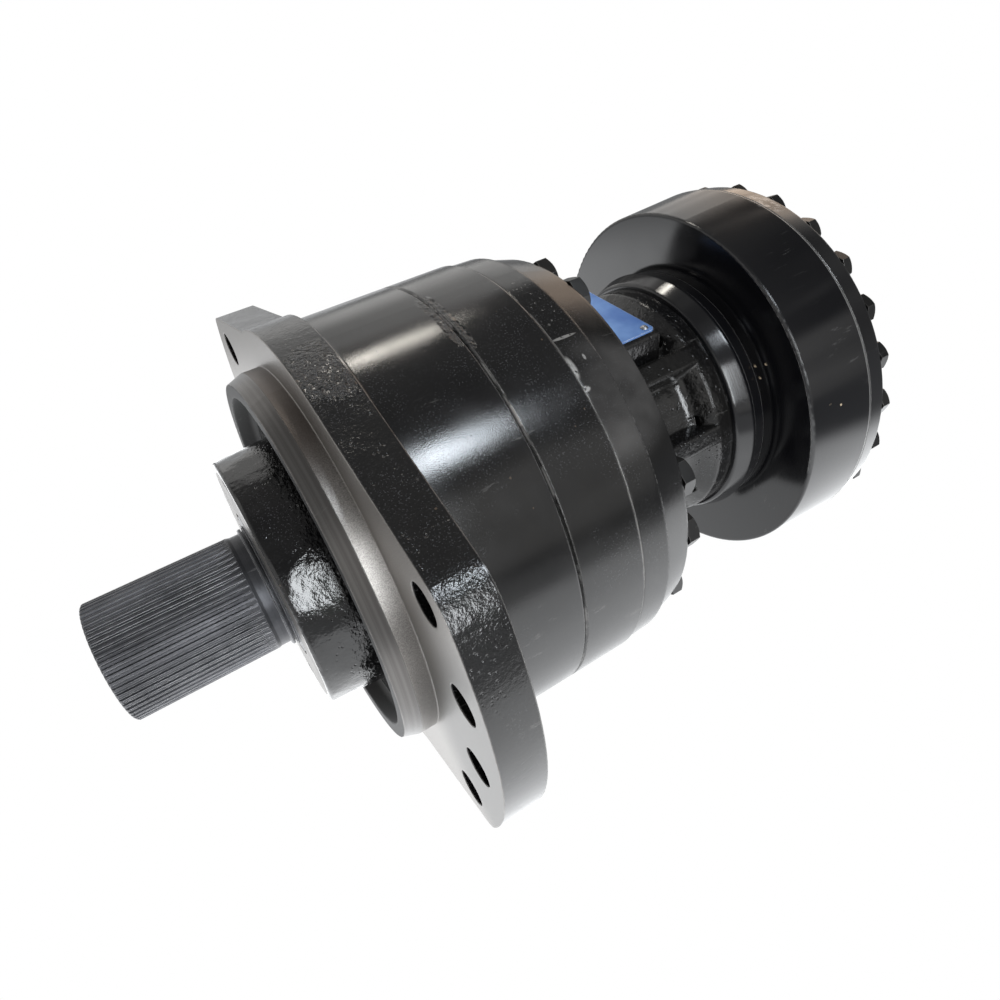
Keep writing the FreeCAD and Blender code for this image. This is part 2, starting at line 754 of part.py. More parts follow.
def rear_casting():
    """Bolt ring and ribbed neck, with the plate pad, the port block and the drain boss."""
    x_flange = x_hub - neck_end_width
    body = turned([
        (x_case, 0), (x_case, case_front_radius - 0.5), (x_case + 0.5, case_front_radius),
        (x_case_step, case_front_radius - 0.6), (x_case_step, case_step_radius),
        (x_ring_back, case_back_radius, 2.0), (x_ring_back, neck_core + neck_blend),
        (x_ring_back + neck_blend, neck_core, neck_blend), (x_flange - neck_blend, neck_core, neck_blend),
        (x_flange, neck_end_flange, 1.5), (x_hub, neck_end_flange), (x_hub, neck_pilot),
        (x_hub + neck_pilot_length - 0.8, neck_pilot), (x_hub + neck_pilot_length, neck_pilot - 0.8),
        (x_hub + neck_pilot_length, 0)])
    ribs = outline_face(neck_section(), across(x_ring_back - 4)).extrude(
        FreeCAD.Vector(neck_length - neck_end_width + 6, 0, 0))
    pad = outline_face([
        (-pad_width / 2, 20), (pad_width / 2, 20), (pad_width / 2, pad_height, 3.0),
        (-pad_width / 2, pad_height, 3.0)], across(x_ring_back - 4)).extrude(
            FreeCAD.Vector(pad_length + 4, 0, 0))
    x_port = x_ring_back + port_block_start
    block = outline_face([
        (-port_block_width / 2, -port_block_height, 6.0), (port_block_width / 2, -port_block_height, 6.0),
        (port_block_width / 2 - 10, -20), (-port_block_width / 2 + 10, -20)], across(x_port)).extrude(
            FreeCAD.Vector(port_block_length, 0, 0))
    x_middle = x_port + port_block_length / 2
    boss = radial_rod(x_middle, drain_angle, 30.0, drain_height, drain_boss)
    body = body.fuse(ribs).fuse(pad).fuse(block).fuse(boss).removeSplitter()
    body = body.cut(turned([
        (x_case - 1, 0), (x_case - 1, chamber_radius), (x_distributor + 0.5, chamber_radius, 2.0),
        (x_distributor + 0.5, 0)]))
    body = body.cut(turned(distributor_outline(seat_gap + 0.06)))
    body = body.cut(ring(x_case, x_hub + neck_pilot_length - x_case + 1, neck_bore))
    body = body.cut(ring(x_hub + neck_pilot_length - bush_length, bush_length + 1, neck_bore + 2.0))
    for side in (-1, 1):
        y = side * port_spacing / 2
        mouth = FreeCAD.Vector(x_middle, y, -port_block_height - 1)
        up = FreeCAD.Vector(0, 0, 1)
        body = body.cut(Part.makeCylinder(port_face, 2.0, mouth, up))
        body = body.cut(Part.makeCylinder(port_thread, port_depth + 1, mouth, up))
        body = body.cut(Part.makeCylinder(8.0, port_block_height - neck_bore - 6, mouth, up))
    body = body.cut(radial_rod(x_middle, drain_angle, drain_height - drain_depth, drain_height + 1, drain_thread))
    body = body.cut(radial_rod(x_middle, drain_angle, neck_bore - 2, drain_height, 4.0))
    for angle in case_angles():
        body = body.cut(rod(x_case - 1, case_ring_width + 2, case_bolt_radius + bolt_gap, case_bolt_circle, angle))
    for angle in hub_screw_angles():
        body = body.cut(rod(x_hub - hub_screw_grip - 2, hub_screw_grip + 3, brake_bolt_radius + running_gap,
                            hub_screw_circle, angle))
    for x, y in rivet_places():
        body = body.cut(Part.makeCylinder(rivet_radius + running_gap, 6.0, FreeCAD.Vector(x, y, pad_height - 5),
                                          FreeCAD.Vector(0, 0, 1)))
    return body.cut(face_groove(x_case, 1))


def rear_case(casting):
    """The casting's bolt ring, as far as its back face."""
    return casting.common(ring(x_case - 1, case_ring_width + 1, barrel_radius + 1))


def case_neck(casting):
    """The casting's neck, from the ring's back face to the brake's pilot."""
    return casting.common(ring(x_ring_back, neck_length + neck_pilot_length + 1, barrel_radius + 1))


def plate_start():
    return x_ring_back + (pad_length - plate_length) / 2 + 1.0


def rivet_places():
    """The four corners where the plate is riveted, as (x, y)."""
    x = plate_start()
    y = plate_width / 2 - rivet_inset
    return [(x + rivet_inset + dx, side * y) for dx in (0, plate_length - 2 * rivet_inset) for side in (-1, 1)]


def name_plate():
    """Bare plate with rounded corners on the neck's pad."""
    x = plate_start()
    half = plate_width / 2
    face = outline_face([(x, -half, 2.5), (x + plate_length, -half, 2.5), (x + plate_length, half, 2.5),
                         (x, half, 2.5)], lambda a, b: FreeCAD.Vector(a, b, pad_height))
    plate = face.extrude(FreeCAD.Vector(0, 0, plate_thickness))
    for px, py in rivet_places():
        plate = plate.cut(Part.makeCylinder(rivet_radius + running_gap, 4.0,
                                            FreeCAD.Vector(px, py, pad_height - 1), FreeCAD.Vector(0, 0, 1)))
    return plate


def plate_rivets():
    rivets = []
    for x, y in rivet_places():
        up = FreeCAD.Vector(0, 0, 1)
        pin = Part.makeCylinder(rivet_radius, 4.0 + plate_thickness, FreeCAD.Vector(x, y, pad_height - 4), up)
        head = Part.makeSphere(rivet_radius * 1.9, FreeCAD.Vector(x, y, pad_height + plate_thickness - 1.1),
                               up, 0, 90, 360)
        cut = box(x - 9, y - 9, pad_height - 9, 18, 18, 9 + plate_thickness)
        rivets.append(pin.fuse(head.cut(cut)).removeSplitter())
    return rivets


def disc_spline(x, length, gap):
    """The hub spline that carries the inner brake discs."""
    return spline_bar(x, length, hub_spline_tip, hub_spline_root, hub_spline_teeth, gap)


def brake_shaft():
    """Shaft from the cylinder block to the brake discs, one piece with their splined hub."""
    x_tip = x_block_end - brake_spline_length
    x_flange = x_discs + 0.3
    x_tail = x_pack_end + 1.0
    body = turned([
        (x_tip + 1, 0), (x_tip + 1, brake_spline_root - 1), (x_block_end, brake_spline_root - 1),
        (x_block_end + 3, brake_shaft_radius), (x_flange - 4, brake_shaft_radius, 3.0),
        (x_flange, 30.0), (x_flange, hub_spline_root - 1.0), (x_tail, hub_spline_root - 1.0),
        (x_tail, 26.0), (x_tail - 6, 20.0), (x_tail - 6, 0)])
    front = spline_bar(x_tip, brake_spline_length, brake_spline_tip, brake_spline_root, brake_spline_teeth)
    return body.fuse(front).fuse(disc_spline(x_flange, x_tail - x_flange, 0.0)).removeSplitter()


def brake_adapter():
    """Grooved ring between the neck and the drum, with a pilot at each end."""
    x_groove = x_brake - adapter_groove_width
    body = turned([
        (x_hub, neck_pilot + seat_gap), (x_hub, adapter_front, 2.0),
        (x_groove - adapter_groove, adapter_base, 2.0), (x_groove, adapter_base - adapter_groove),
        (x_brake, adapter_base - adapter_groove), (x_brake, adapter_pilot),
        (x_brake + adapter_pilot_length, adapter_pilot), (x_brake + adapter_pilot_length, shaft_way),
        (x_hub + neck_pilot_length, shaft_way), (x_hub + neck_pilot_length, neck_pilot + seat_gap)])
    for angle in hub_screw_angles():
        body = body.cut(rod(x_hub - 1, brake_hub_length + 2, brake_bolt_radius + bolt_gap, hub_screw_circle, angle))
    return body


def brake_housing():
    """Turned drum with a wall that seats on the adapter and a bolt circle for the cover."""
    x_step = x_brake + adapter_pilot_length
    body = turned([
        (x_brake, adapter_pilot + seat_gap), (x_brake, brake_front_radius, 1.4), (x_cover, brake_radius),
        (x_cover, piston_chamber), (x_brake_piston, piston_chamber), (x_brake_piston, disc_chamber),
        (x_discs, disc_chamber), (x_discs, shaft_way), (x_step, shaft_way),
        (x_step, adapter_pilot + seat_gap)])
    head_floor = x_discs - hub_screw_head_height - 0.5
    for angle in hub_screw_angles():
        body = body.cut(rod(x_brake - 1, brake_wall + 2, brake_bolt_radius + bolt_gap, hub_screw_circle, angle))
        body = body.cut(rod(head_floor, x_discs - head_floor + 1, hub_screw_head + bolt_gap, hub_screw_circle, angle))
    for angle in brake_angles():
        body = body.cut(rod(x_cover - brake_bolt_grip - 2, brake_bolt_grip + 3, brake_bolt_radius + running_gap,
                            brake_bolt_circle, angle))
    x_port = x_brake_piston + brake_port_offset
    outer = brake_front_radius
    body = body.cut(radial_rod(x_port, brake_port_angle, outer, brake_radius + 3, brake_port_face))
    body = body.cut(radial_rod(x_port, brake_port_angle, outer - brake_port_depth, outer + 3, brake_port_thread))
    return body.cut(radial_rod(x_port, brake_port_angle, piston_chamber - 2, outer, 2.0))


def outer_discs():
    """Steel discs held by the drum."""
    discs = []
    for i in range(outer_disc_count):
        x = x_discs + i * (outer_disc_thickness + inner_disc_thickness + 2 * disc_gap)
        discs.append(ring(x + seat_gap, outer_disc_thickness, disc_chamber - seat_gap, disc_inner))
    return discs


def inner_discs():
    """Lined discs that turn with the brake shaft."""
    discs = []
    for i in range(outer_disc_count - 1):
        x = x_discs + outer_disc_thickness + disc_gap
        x += i * (outer_disc_thickness + inner_disc_thickness + 2 * disc_gap)
        disc = ring(x, inner_disc_thickness, lining_radius)
        discs.append(disc.cut(disc_spline(x - 1, inner_disc_thickness + 2, running_gap)))
    return discs


def piston_groove_x():
    return x_brake_piston + brake_piston_width * 0.5


def brake_piston():
    """Ring piston that the spring presses on the discs and oil pushes back."""
    body = turned([
        (x_brake_piston, brake_piston_bore), (x_brake_piston, piston_chamber - running_gap - 4.5),
        (x_brake_piston + 1.2, piston_chamber - running_gap), (x_brake_piston_end, piston_chamber - running_gap),
        (x_brake_piston_end, brake_piston_bore + 19.0), (x_brake_piston_end - 3.0, brake_piston_bore + 17.0),
        (x_brake_piston_end - 3.0, brake_piston_bore)])
    x = piston_groove_x()
    return body.cut(ring(x, 3.0, piston_chamber + 1, piston_chamber - 3.0))


def brake_piston_seal():
    x = piston_groove_x()
    top = piston_chamber - running_gap
    return turned([(x + 0.1, piston_chamber - 2.95), (x + 2.9, piston_chamber - 2.95), (x + 2.9, top, 0.7),
                   (x + 0.1, top, 0.7)])


def disc_spring():
    """Conical spring: its inner rim bears on the brake piston, its outer rim on the cover."""
    low = x_brake_piston_end - 3.0 + seat_gap
    high = x_cover + cover_pocket - seat_gap
    inner = brake_piston_bore + 1.0
    outer = piston_chamber - 3.0
    return turned([(low, inner), (high - disc_spring_thickness, outer), (high, outer),
                   (low + disc_spring_thickness, inner)])


def brake_cover():
    """Rear cover with the spring's pocket, the screw circle and a plug in its middle."""
    body = turned([
        (x_cover, piston_chamber), (x_cover, brake_radius - 0.5), (x_cover + 0.5, brake_radius),
        (x_end, brake_back_radius, 2.0), (x_end, 30.0, 1.0), (x_end - 2.5, 28.0, 1.0), (x_end - 2.5, 0),
        (x_cover + cover_pocket, 0), (x_cover + cover_pocket, piston_chamber)])
    body = body.cut(ring(x_cover - 1, cover_thickness + 2, end_plug_thread + seat_gap))
    for angle in brake_angles():
        body = body.cut(rod(x_cover - 1, cover_thickness + 2, brake_bolt_radius + bolt_gap, brake_bolt_circle, angle))
    return body


def end_plug():
    """Hexagon plug in the middle of the brake cover."""
    seat = x_end - 2.5
    flats = [polar(11.0 / math.cos(math.radians(30)), 60.0 * i) for i in range(6)]
    hexagon = outline_face(flats, across(seat + 2.0)).extrude(FreeCAD.Vector(6.0, 0, 0))
    collar = ring(seat, 2.0, end_plug_head)
    stem = ring(x_cover + cover_pocket, seat - x_cover - cover_pocket, end_plug_thread)
    return stem.fuse(collar).fuse(hexagon).removeSplitter()


def brake_bush():
    x = x_hub + neck_pilot_length - bush_length
    return ring(x, bush_length, neck_bore + 2.0 - seat_gap, brake_shaft_radius + running_gap)


def build():
    os.makedirs("parts", exist_ok=True)
    save("output_shaft", output_shaft())
    save("seal_cover", seal_cover())
    save("shaft_seal", shaft_seal())
    save("front_housing", front_housing())
    bearings = (("front", front_bearing_x, front_width, front_bore, front_outer, -1),
                ("rear", x_rear_cone, rear_width, rear_bore, rear_outer, 1))
    for name, x, width, bore, outer, big_end in bearings:
        cone, cup, cage, rollers = taper_bearing(x, width, bore, outer, big_end)
        save(name + "_bearing_cone", cone)
        save(name + "_bearing_cup", cup)
        save(name + "_bearing_cage", cage)
        save(name + "_bearing_rollers", *rollers)
    save("bearing_nut", bearing_nut())
    save("front_seal_ring", seal_ring(x_cam, -1))
    save("cam_ring", cam_ring())
    save("rear_seal_ring", seal_ring(x_case, 1))
    save("cylinder_block", cylinder_block())
    for i in range(piston_count):
        angle = 360.0 / piston_count * i
        save("piston_%d" % (i + 1), piston(angle))
        save("cam_roller_%d" % (i + 1), cam_roller(angle))
    save("distributor", distributor())
    save("distributor_rings", *distributor_rings())
    casting = rear_casting()
    save("rear_case", rear_case(casting))
    save("case_neck", case_neck(casting))
    case_screw = hex_screw(x_ring_back, x_ring_back - x_cam + case_bolt_grip, case_bolt_radius,
                           case_bolt_flats, case_bolt_head_height)
    save("case_bolts", *screws_at(case_screw, case_bolt_circle, case_angles()))
    save("name_plate", name_plate())
    save("plate_rivets", *plate_rivets())
    save("brake_shaft", brake_shaft())
    save("brake_bush", brake_bush())
    save("brake_adapter", brake_adapter())
    save("brake_housing", brake_housing())
    hub_seat = x_discs - hub_screw_head_height - 0.5
    hub_screw = cap_screw(hub_seat, hub_seat - x_hub + hub_screw_grip, brake_bolt_radius,
                          hub_screw_head, hub_screw_head_height, hub_screw_socket)
    save("brake_hub_screws", *screws_at(hub_screw, hub_screw_circle, hub_screw_angles()))
    save("outer_brake_discs", *outer_discs())
    save("inner_brake_discs", *inner_discs())
    save("brake_piston", brake_piston())
    save("brake_piston_seal", brake_piston_seal())
    save("brake_disc_spring", disc_spring())
    save("brake_cover", brake_cover())
    save("end_plug", end_plug())
    brake_screw = hex_screw(x_end, cover_thickness + brake_bolt_grip, brake_bolt_radius,
                            brake_bolt_flats, brake_bolt_head_height)
    save("brake_bolts", *screws_at(brake_screw, brake_bolt_circle, brake_angles()))


build()
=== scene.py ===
import bpy
import bmesh
import math
from mathutils import Matrix, Vector


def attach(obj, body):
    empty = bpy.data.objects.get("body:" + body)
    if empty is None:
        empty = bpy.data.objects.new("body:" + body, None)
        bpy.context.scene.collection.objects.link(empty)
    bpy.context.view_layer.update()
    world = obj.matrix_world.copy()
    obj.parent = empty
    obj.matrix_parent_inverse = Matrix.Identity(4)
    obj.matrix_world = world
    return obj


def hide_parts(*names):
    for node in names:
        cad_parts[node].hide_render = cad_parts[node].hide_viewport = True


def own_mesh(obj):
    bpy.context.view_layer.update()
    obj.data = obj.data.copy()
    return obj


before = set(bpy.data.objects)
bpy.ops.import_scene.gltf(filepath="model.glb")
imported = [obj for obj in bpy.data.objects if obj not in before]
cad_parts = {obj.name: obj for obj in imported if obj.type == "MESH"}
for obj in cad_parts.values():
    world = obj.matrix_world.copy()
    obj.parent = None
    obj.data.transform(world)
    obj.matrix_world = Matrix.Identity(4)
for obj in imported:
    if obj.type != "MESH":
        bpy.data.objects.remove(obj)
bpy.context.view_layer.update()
print("stage: frame loaded,", len(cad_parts), "nodes")


def put(tree, kind, **settings):
    node = tree.nodes.new(kind)
    for key, value in settings.items():
        setattr(node, key, value)
    return node


def feed(tree, socket, value):
    if isinstance(value, bpy.types.NodeSocket):
        tree.links.new(value, socket)
    elif value is not None:
        socket.default_value = value


def calc(tree, operation, first, second=None, clamp=False):
    node = put(tree, "ShaderNodeMath", operation=operation, use_clamp=clamp)
    feed(tree, node.inputs[0], first)
    feed(tree, node.inputs[1], second)
    return node.outputs[0]


def product(tree, *values):
    result = values[0]
    for value in values[1:]:
        result = calc(tree, "MULTIPLY", result, value)
    return result


def most(tree, *values):
    result = values[0]
    for value in values[1:]:
        result = calc(tree, "MAXIMUM", result, value)
    return result


def total(tree, *values):
    result = values[0]
    for value in values[1:]:
        result = calc(tree, "ADD", result, value)
    return result


def blendColour(tree, factor, first, second):
    node = put(tree, "ShaderNodeMix", data_type="RGBA")
    feed(tree, node.inputs[0], factor)
    feed(tree, node.inputs[6], first)
    feed(tree, node.inputs[7], second)
    return node.outputs[2]


def blendValue(tree, factor, first, second):
    node = put(tree, "ShaderNodeMix", data_type="FLOAT")
    feed(tree, node.inputs[0], factor)
    feed(tree, node.inputs[2], first)
    feed(tree, node.inputs[3], second)
    return node.outputs[0]


def ramp(tree, value, low, high, toLow=0.0, toHigh=1.0):
    node = put(tree, "ShaderNodeMapRange", interpolation_type="SMOOTHSTEP")
    feed(tree, node.inputs[0], value)
    for socket, number in zip(node.inputs[1:5], (low, high, toLow, toHigh)):
        feed(tree, socket, number)
    return node.outputs[0]


def noise(tree, where, scale, detail=2.0, rough=0.5, size="3D"):
    node = put(tree, "ShaderNodeTexNoise", noise_dimensions=size)
    feed(tree, node.inputs["W" if size == "1D" else "Vector"], where)
    feed(tree, node.inputs["Scale"], scale)
    feed(tree, node.inputs["Detail"], detail)
    feed(tree, node.inputs["Roughness"], rough)
    return node.outputs[0]


def newGroup(name, inputs, outputs):
    tree = bpy.data.node_groups.new(name, "ShaderNodeTree")
    for label, kind, value in inputs:
        socket = tree.interface.new_socket(name=label, in_out="INPUT", socket_type=kind)
        if value is not None:
            socket.default_value = value
    for label, kind in outputs:
        tree.interface.new_socket(name=label, in_out="OUTPUT", socket_type=kind)
    return tree, tree.nodes.new("NodeGroupInput"), tree.nodes.new("NodeGroupOutput")


def fromAxis(tree, split):
    return calc(tree, "SQRT", total(tree, calc(tree, "POWER", split.outputs[1], 2.0),
                                    calc(tree, "POWER", split.outputs[2], 2.0)))


number = "NodeSocketFloat"
place = "NodeSocketVector"


def makeCastSkin():
    # sand-cast skin under thick paint: soft lumps, grain and a few pits
    tree, start, end = newGroup("castSkin", [("Where", place, None), ("Lumps", number, 0.6), ("Grain", number, 0.3),
                                             ("Pits", number, 0.5)], [("Height", number), ("Pit", number)])
    where = start.outputs["Where"]
    lumps = calc(tree, "SUBTRACT", noise(tree, where, 230.0, 2.0, 0.5), 0.5)
    grain = calc(tree, "SUBTRACT", noise(tree, where, 780.0, 2.0, 0.6), 0.5)
    cells = put(tree, "ShaderNodeTexVoronoi", feature="F1")
    feed(tree, cells.inputs["Vector"], where)
    cells.inputs["Scale"].default_value = 420.0
    spots = ramp(tree, cells.outputs["Distance"], 0.12, 0.30, 1.0, 0.0)
    chosen = ramp(tree, noise(tree, where, 90.0, 2.0), 0.48, 0.60)
    pit = calc(tree, "MULTIPLY", spots, chosen)
    height = total(tree, product(tree, lumps, start.outputs["Lumps"]), product(tree, grain, start.outputs["Grain"]))
    feed(tree, end.inputs["Height"], calc(tree, "SUBTRACT", height, product(tree, pit, start.outputs["Pits"])))
    feed(tree, end.inputs["Pit"], pit)
    return tree


paintOctaves = ((2300.0, 0.5, 0.62), (560.0, 0.4, 0.07), (42.0, 0.4, 1.8))


def makePaintGrain():
    # orange peel and dust in the sprayed paint, as scale, roughness and share of each octave
    tree, start, end = newGroup("paintGrain", [("Where", place, None)], [("Height", number)])
    where = start.outputs["Where"]
    layers = [calc(tree, "MULTIPLY", noise(tree, where, scale, 1.0, rough), share)
              for scale, rough, share in paintOctaves]
    feed(tree, end.inputs["Height"], total(tree, *layers))
    return tree


def makeTurnedLines():
    # fine rings left by the lathe, on faces, cones and cylinders alike
    tree, start, end = newGroup("turnedLines", [("Where", place, None), ("Pitch", number, 1400.0)],
                                [("Height", number), ("Tone", number)])
    split = put(tree, "ShaderNodeSeparateXYZ")
    feed(tree, split.inputs[0], start.outputs["Where"])
    run = product(tree, calc(tree, "ADD", fromAxis(tree, split), split.outputs[0]), start.outputs["Pitch"])
    feed(tree, end.inputs["Height"], noise(tree, run, 1.0, 3.0, 0.7, "1D"))
    feed(tree, end.inputs["Tone"], noise(tree, calc(tree, "MULTIPLY", run, 0.23), 1.0, 2.0, 0.6, "1D"))
    return tree


def makeRadius():
    # distance from the shaft axis, and place along it
    tree, start, end = newGroup("shaftRadius", [("Where", place, None)], [("Radius", number), ("Along", number)])
    split = put(tree, "ShaderNodeSeparateXYZ")
    feed(tree, split.inputs[0], start.outputs["Where"])
    feed(tree, end.inputs["Radius"], fromAxis(tree, split))
    feed(tree, end.inputs["Along"], split.outputs[0])
    return tree


def makeBand():
    # 1 inside a range of a value, soft at both ends
    tree, start, end = newGroup("band", [("Value", number, 0.0), ("From", number, 0.0), ("To", number, 1.0),
                                         ("Soft", number, 0.0002)], [("Mask", number)])
    value, soft = start.outputs["Value"], start.outputs["Soft"]
    low = calc(tree, "DIVIDE", calc(tree, "SUBTRACT", value, start.outputs["From"]), soft, True)
    high = calc(tree, "DIVIDE", calc(tree, "SUBTRACT", start.outputs["To"], value), soft, True)
    feed(tree, end.inputs["Mask"], calc(tree, "MULTIPLY", low, high, True))
    return tree


def makeSpot():
    # 1 inside an ellipsoid about one place, fading to its rim
    tree, start, end = newGroup("spot", [("Where", place, None), ("Centre", place, None), ("Reach", place, None)],
                                [("Mask", number)])
    offset = put(tree, "ShaderNodeVectorMath", operation="SUBTRACT")
    feed(tree, offset.inputs[0], start.outputs["Where"])
    feed(tree, offset.inputs[1], start.outputs["Centre"])
    share = put(tree, "ShaderNodeVectorMath", operation="DIVIDE")
    feed(tree, share.inputs[0], offset.outputs[0])
    feed(tree, share.inputs[1], start.outputs["Reach"])
    length = put(tree, "ShaderNodeVectorMath", operation="LENGTH")
    feed(tree, length.inputs[0], share.outputs[0])
    feed(tree, end.inputs["Mask"], ramp(tree, length.outputs["Value"], 0.55, 1.0, 1.0, 0.0))
    return tree


def makeEdgeWear():
    # paint rubbed off sharp edges: the rounded normal leaves the real one there
    tree, start, end = newGroup("edgeWear", [("Where", place, None), ("Reach", number, 0.0012),
                                             ("Amount", number, 0.5)], [("Mask", number), ("Normal", place)])
    rounded = put(tree, "ShaderNodeBevel", samples=4)
    feed(tree, rounded.inputs["Radius"], start.outputs["Reach"])
    surface = put(tree, "ShaderNodeNewGeometry")
    match = put(tree, "ShaderNodeVectorMath", operation="DOT_PRODUCT")
    feed(tree, match.inputs[0], rounded.outputs[0])
    feed(tree, match.inputs[1], surface.outputs["Normal"])
    turn = calc(tree, "SUBTRACT", 1.0, match.outputs["Value"])
    patchy = noise(tree, start.outputs["Where"], 110.0, 4.0, 0.65)
    gate = calc(tree, "SUBTRACT", calc(tree, "ADD", patchy, start.outputs["Amount"]), 0.75)
    feed(tree, end.inputs["Mask"], calc(tree, "MULTIPLY", ramp(tree, turn, 0.03, 0.16),
                                        calc(tree, "MULTIPLY", gate, 3.0, True), True))
    feed(tree, end.inputs["Normal"], rounded.outputs[0])
    return tree


def makeScuffs():
    # thin scratches and rubbed patches
    tree, start, end = newGroup("scuffs", [("Where", place, None), ("Scale", number, 30.0), ("Amount", number, 0.5)],
                                [("Mask", number)])
    stretch = put(tree, "ShaderNodeMapping")
    feed(tree, stretch.inputs["Vector"], start.outputs["Where"])
    stretch.inputs["Rotation"].default_value = (0.5, 0.2, 0.9)
    stretch.inputs["Scale"].default_value = (1.0, 9.0, 3.0)
    lines = noise(tree, stretch.outputs[0], calc(tree, "MULTIPLY", start.outputs["Scale"], 2.2), 5.0, 0.7)
    zones = noise(tree, start.outputs["Where"], start.outputs["Scale"], 2.0, 0.5)
    mark = product(tree, ramp(tree, lines, 0.60, 0.68), ramp(tree, zones, 0.52, 0.66))
    feed(tree, end.inputs["Mask"], calc(tree, "MULTIPLY", mark, start.outputs["Amount"]))
    return tree


def makeChips():
    # tiny chips where pale primer or bare metal shows
    tree, start, end = newGroup("chips", [("Where", place, None), ("Scale", number, 150.0), ("Amount", number, 0.5)],
                                [("Mask", number)])
    cells = put(tree, "ShaderNodeTexVoronoi", feature="F1")
    feed(tree, cells.inputs["Vector"], start.outputs["Where"])
    feed(tree, cells.inputs["Scale"], start.outputs["Scale"])
    wobble = calc(tree, "MULTIPLY", noise(tree, start.outputs["Where"], 900.0, 2.0), 0.12)
    spot = ramp(tree, calc(tree, "ADD", cells.outputs["Distance"], wobble), 0.11, 0.14, 1.0, 0.0)
    few = ramp(tree, noise(tree, start.outputs["Where"], 38.0, 1.0), 0.63, 0.66)
    feed(tree, end.inputs["Mask"], product(tree, spot, few, start.outputs["Amount"]))
    return tree


groups = {
    "cast": makeCastSkin(),
    "grain": makePaintGrain(),
    "lines": makeTurnedLines(),
    "radius": makeRadius(),
    "band": makeBand(),
    "spot": makeSpot(),
    "edge": makeEdgeWear(),
    "scuffs": makeScuffs(),
    "chips": makeChips(),
}
print("stage: shared effects ready")


def use(tree, group, **inputs):
    node = put(tree, "ShaderNodeGroup", node_tree=groups[group])
    for label, value in inputs.items():
        feed(tree, node.inputs[label], value)
    return node


def newMaterial(name, plain):
    material = bpy.data.materials.new(name)
    material.use_nodes = True
    tree = material.node_tree
    tree.nodes.clear()
    shader = put(tree, "ShaderNodeBsdfPrincipled")
    out = put(tree, "ShaderNodeOutputMaterial")
    tree.links.new(shader.outputs[0], out.inputs[0])
    for label, value in plain.items():
        shader.inputs[label].default_value = value
    where = put(tree, "ShaderNodeTexCoord").outputs["Object"]
    return material, tree, shader, where


def bump(tree, shader, height, depth, normal=None):
    node = put(tree, "ShaderNodeBump")
    node.inputs["Strength"].default_value = 1.0
    node.inputs["Distance"].default_value = depth
    feed(tree, node.inputs["Height"], height)
    feed(tree, node.inputs["Normal"], normal)
    feed(tree, shader.inputs["Normal"], node.outputs[0])


def band(tree, value, low, high, soft=0.0002):
    return use(tree, "band", Value=value, From=low, To=high, Soft=soft).outputs[0]


def spot(tree, where, centre, reach):
    return use(tree, "spot", Where=where, Centre=centre, Reach=reach).outputs[0]


bumpDepth = 0.0009
noMasks = {"cast": 0.0, "soft": 0.0, "paintedSheen": 0.0, "spigot": 0.0, "satin": 0.0, "polished": 0.0, "dull": 0.0,
           "beads": 0.0, "bare": 0.0}


